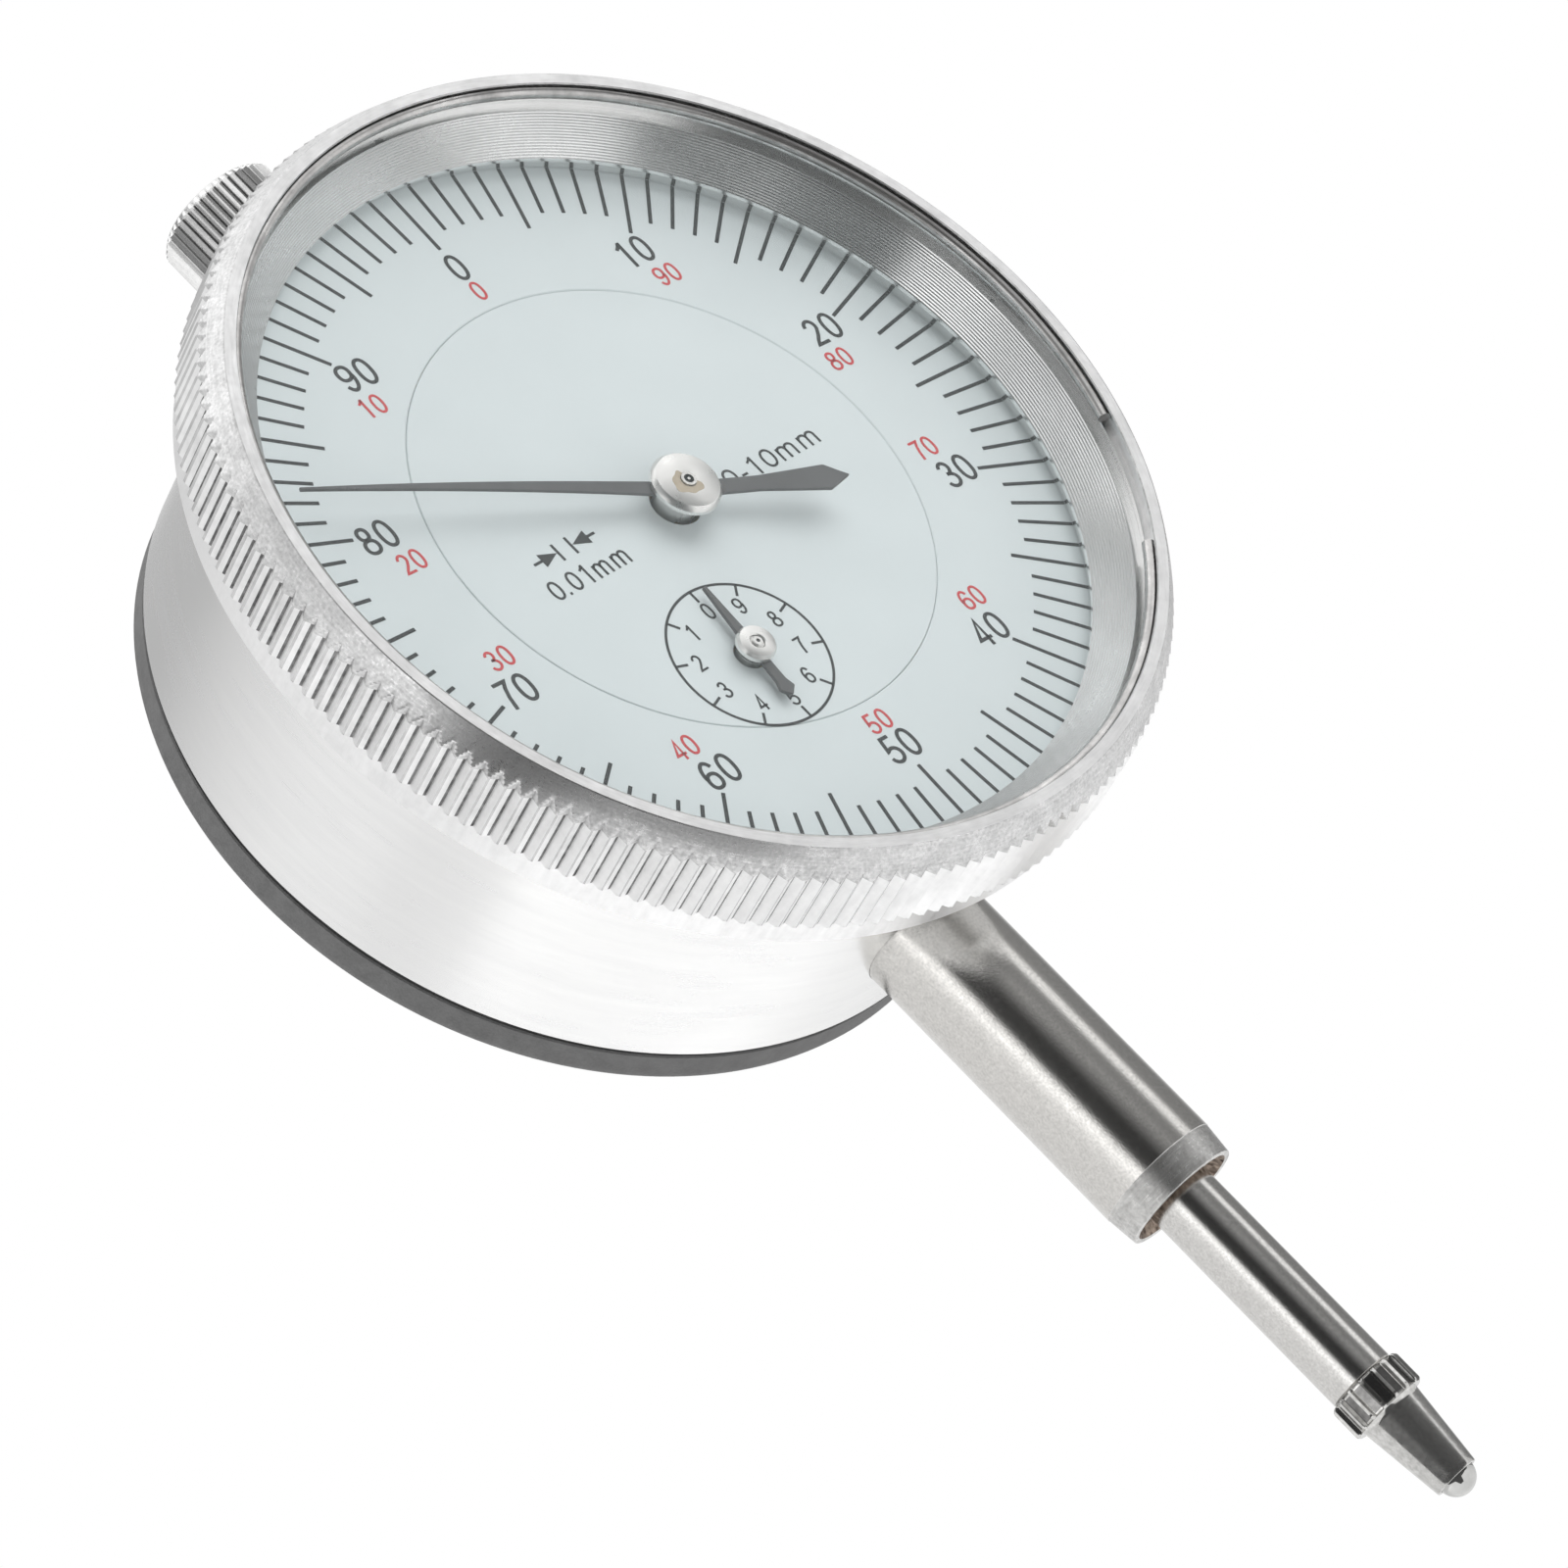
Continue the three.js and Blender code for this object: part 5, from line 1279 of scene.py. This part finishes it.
def cap_knurl(angles, radius, along):
    if radius < CAP_RADIUS - 0.05 or not cap_low[2] + 0.2 < along < cap_high[2] - 0.2:
        return np.full(len(angles), float(radius))
    height = np.abs((angles * CAP_TEETH / (2 * math.pi)) % 1.0 - 0.5) * 2
    return np.minimum(radius, CAP_RADIUS - CAP_TOOTH_DEPTH * (1 - height))


def cap_profile():
    """Looks: 0 plain, 1 knurl, which cap_body keeps only on each tooth's valley facets as painted shade."""
    roof = cap_high[2] - 0.8
    knurl_from, knurl_to = cap_low[2] + 0.4, cap_high[2] - 0.45
    plain = CAP_RADIUS - CAP_TOOTH_DEPTH
    profile = [(0, roof, 0), (CAP_BORE, roof, 0), (CAP_BORE, CAP_STEP, 0), (CAP_NECK, CAP_STEP, 0)]
    profile += [(CAP_NECK, cap_low[2], 0), (plain, cap_low[2], 0), (plain, knurl_from - 0.02, 0)]
    profile += [(CAP_RADIUS, knurl_from + 0.02, 1), (CAP_RADIUS, knurl_to, 0)]
    profile += [(plain - 0.01, cap_high[2] - 0.14, 0), (plain - 0.2, cap_high[2], 0), (0, cap_high[2], 0)]
    return profile


def cap_body():
    profile = cap_profile()
    count = CAP_TEETH * TOOTH_STEPS
    points, faces, numbers = lathe(profile, axis="Z", centre=(0, 0), segments=count, wave=cap_knurl)
    middle_step = TOOTH_STEPS // 2
    # Only the two facets at each tooth's valley keep the dark look, a painted shade.
    for i in range(len(numbers)):
        if numbers[i] == 1 and i % TOOTH_STEPS not in (middle_step - 1, middle_step):
            numbers[i] = 0
    return mesh_piece("cap_body", points, faces, ["cap", "cap_valley_shade"], numbers, sharp=25)


cap = cap_body()
settle(cap, "body", "bezel_aluminium", "top_cap")


# ---------- spindle and contact point ----------
RACK_PITCH = 0.625
RACK_TIP = -1.759
RACK_ROOT = -1.381
GAP_AT_TIP, GAP_AT_ROOT = 0.219, 0.125  # half the width of a gap between the rack's teeth
RACK_GAPS = 26
GAPS_BELOW = 20  # how many gaps lie below the pinion


def rack_cutter():
    """The shape of the gaps between the rack's teeth, joined on their open side."""
    pinion = box_mm("pinion_shaft")
    height = (pinion[0][2] + pinion[1][2]) / 2
    first = height - GAPS_BELOW * RACK_PITCH
    outline = [(-3, first - RACK_PITCH), (RACK_TIP, first - RACK_PITCH)]
    for i in range(RACK_GAPS):
        gap = first + i * RACK_PITCH
        outline += [(RACK_TIP, gap - GAP_AT_TIP), (RACK_ROOT, gap - GAP_AT_ROOT)]
        outline += [(RACK_ROOT, gap + GAP_AT_ROOT), (RACK_TIP, gap + GAP_AT_TIP)]
    top = first + RACK_GAPS * RACK_PITCH
    outline += [(RACK_TIP, top), (-3, top)]
    count = len(outline)
    points = [(x, y, z) for y in (-3, 3) for x, z in outline]
    faces = [tuple(range(count)), tuple(count + i for i in reversed(range(count)))]
    faces += [((i + 1) % count, i, count + i, count + (i + 1) % count) for i in range(count)]
    return mesh_piece("rack_comb", points, faces, ["spindle"])


spindle = round_z("spindle_rod", [
    (0, -9), (1.22, -9), (1.22, spindle_low[2]), (SPINDLE_RADIUS - 0.12, spindle_low[2]),
    (SPINDLE_RADIUS, spindle_low[2] + 0.12), (SPINDLE_RADIUS, spindle_high[2] - 0.4),
    (SPINDLE_RADIUS - 0.4, spindle_high[2]), (0, spindle_high[2]),
], ["spindle"])
cut(spindle, rack_cutter())
settle(spindle, "plunger", "spindle_steel", "spindle")

FLUTES = 16
COLLAR_RADIUS = radius_of("contact_point")
COLLAR_TOP, COLLAR_LOW = -14.95, -17.1
BALL_RADIUS = radius_of("contact_ball")
BALL_Z = (ball_low[2] + ball_high[2]) / 2


def fluted(angles, radius, along):
    """Shallow flat-bottomed flutes between narrow ribs."""
    if radius < COLLAR_RADIUS - 0.1:
        return np.full(len(angles), float(radius))
    place_in_flute = (angles * FLUTES / (2 * math.pi)) % 1.0
    distance = np.abs(place_in_flute - 0.5) * 2
    floor = np.clip((0.80 - distance) / 0.16, 0, 1)
    half = math.pi / FLUTES
    flat = (COLLAR_RADIUS - 0.26) * math.cos(half) / np.cos((place_in_flute - 0.5) * 2 * half)
    return np.minimum(radius, COLLAR_RADIUS * (1 - floor) + flat * floor)


CONE_TOP, CONE_END = (2.02, COLLAR_LOW - 0.12), (1.45, BALL_Z - 0.1)
FLUTE_STEPS = 24
FLUTE_SIDE = 5  # steps up to where the flat floor starts


def contact_body():
    """Looks: 0 steel, 1 the floors of the flutes, painted dark as shade."""
    profile = [
        (0, -9.6, 0), (1.2, -9.6, 0), (1.2, COLLAR_TOP, 0), (COLLAR_RADIUS - 0.14, COLLAR_TOP, 0),
        (COLLAR_RADIUS - 0.04, COLLAR_TOP - 0.1, 0), (COLLAR_RADIUS, COLLAR_TOP - 0.2, 1),
        (COLLAR_RADIUS, COLLAR_LOW + 0.2, 0), (COLLAR_RADIUS - 0.04, COLLAR_LOW + 0.1, 0),
        (COLLAR_RADIUS - 0.14, COLLAR_LOW, 0), (2.1, COLLAR_LOW, 0), (*CONE_TOP, 0),
        (CONE_END[0] + 0.02, CONE_END[1] + 0.1, 0), (*CONE_END, 0), (1.35, BALL_Z - 0.13, 0),
        (1.22, BALL_Z - 0.1, 0), (1.23, BALL_Z + 0.3, 0), (0, BALL_Z + 1.25, 0),
    ]
    count = FLUTES * FLUTE_STEPS
    points, faces, numbers = lathe(steady(profile), axis="Z", centre=(0, 0), segments=count, wave=fluted)
    # The flat floors of the flutes keep the dark look, a painted shade.
    for i in range(len(numbers)):
        if numbers[i] == 1 and not FLUTE_SIDE <= i % FLUTE_STEPS < FLUTE_STEPS - FLUTE_SIDE:
            numbers[i] = 0
    return mesh_piece("contact_point_body", points, faces, ["point", "flute"], numbers, sharp=28)


contact_point = contact_body()
settle(contact_point, "plunger", "spindle_steel", "contact_point")

ball_profile = [(BALL_RADIUS * math.sin(a), BALL_Z - BALL_RADIUS * math.cos(a))
                for a in np.linspace(0, math.pi, 33)]
ball_profile[0] = (0, BALL_Z - BALL_RADIUS)
ball_profile[-1] = (0, BALL_Z + BALL_RADIUS)
ball = round_z("contact_ball_body", ball_profile, ["ball"], segments=64)
settle(ball, "plunger", "ball_steel", "contact_ball")
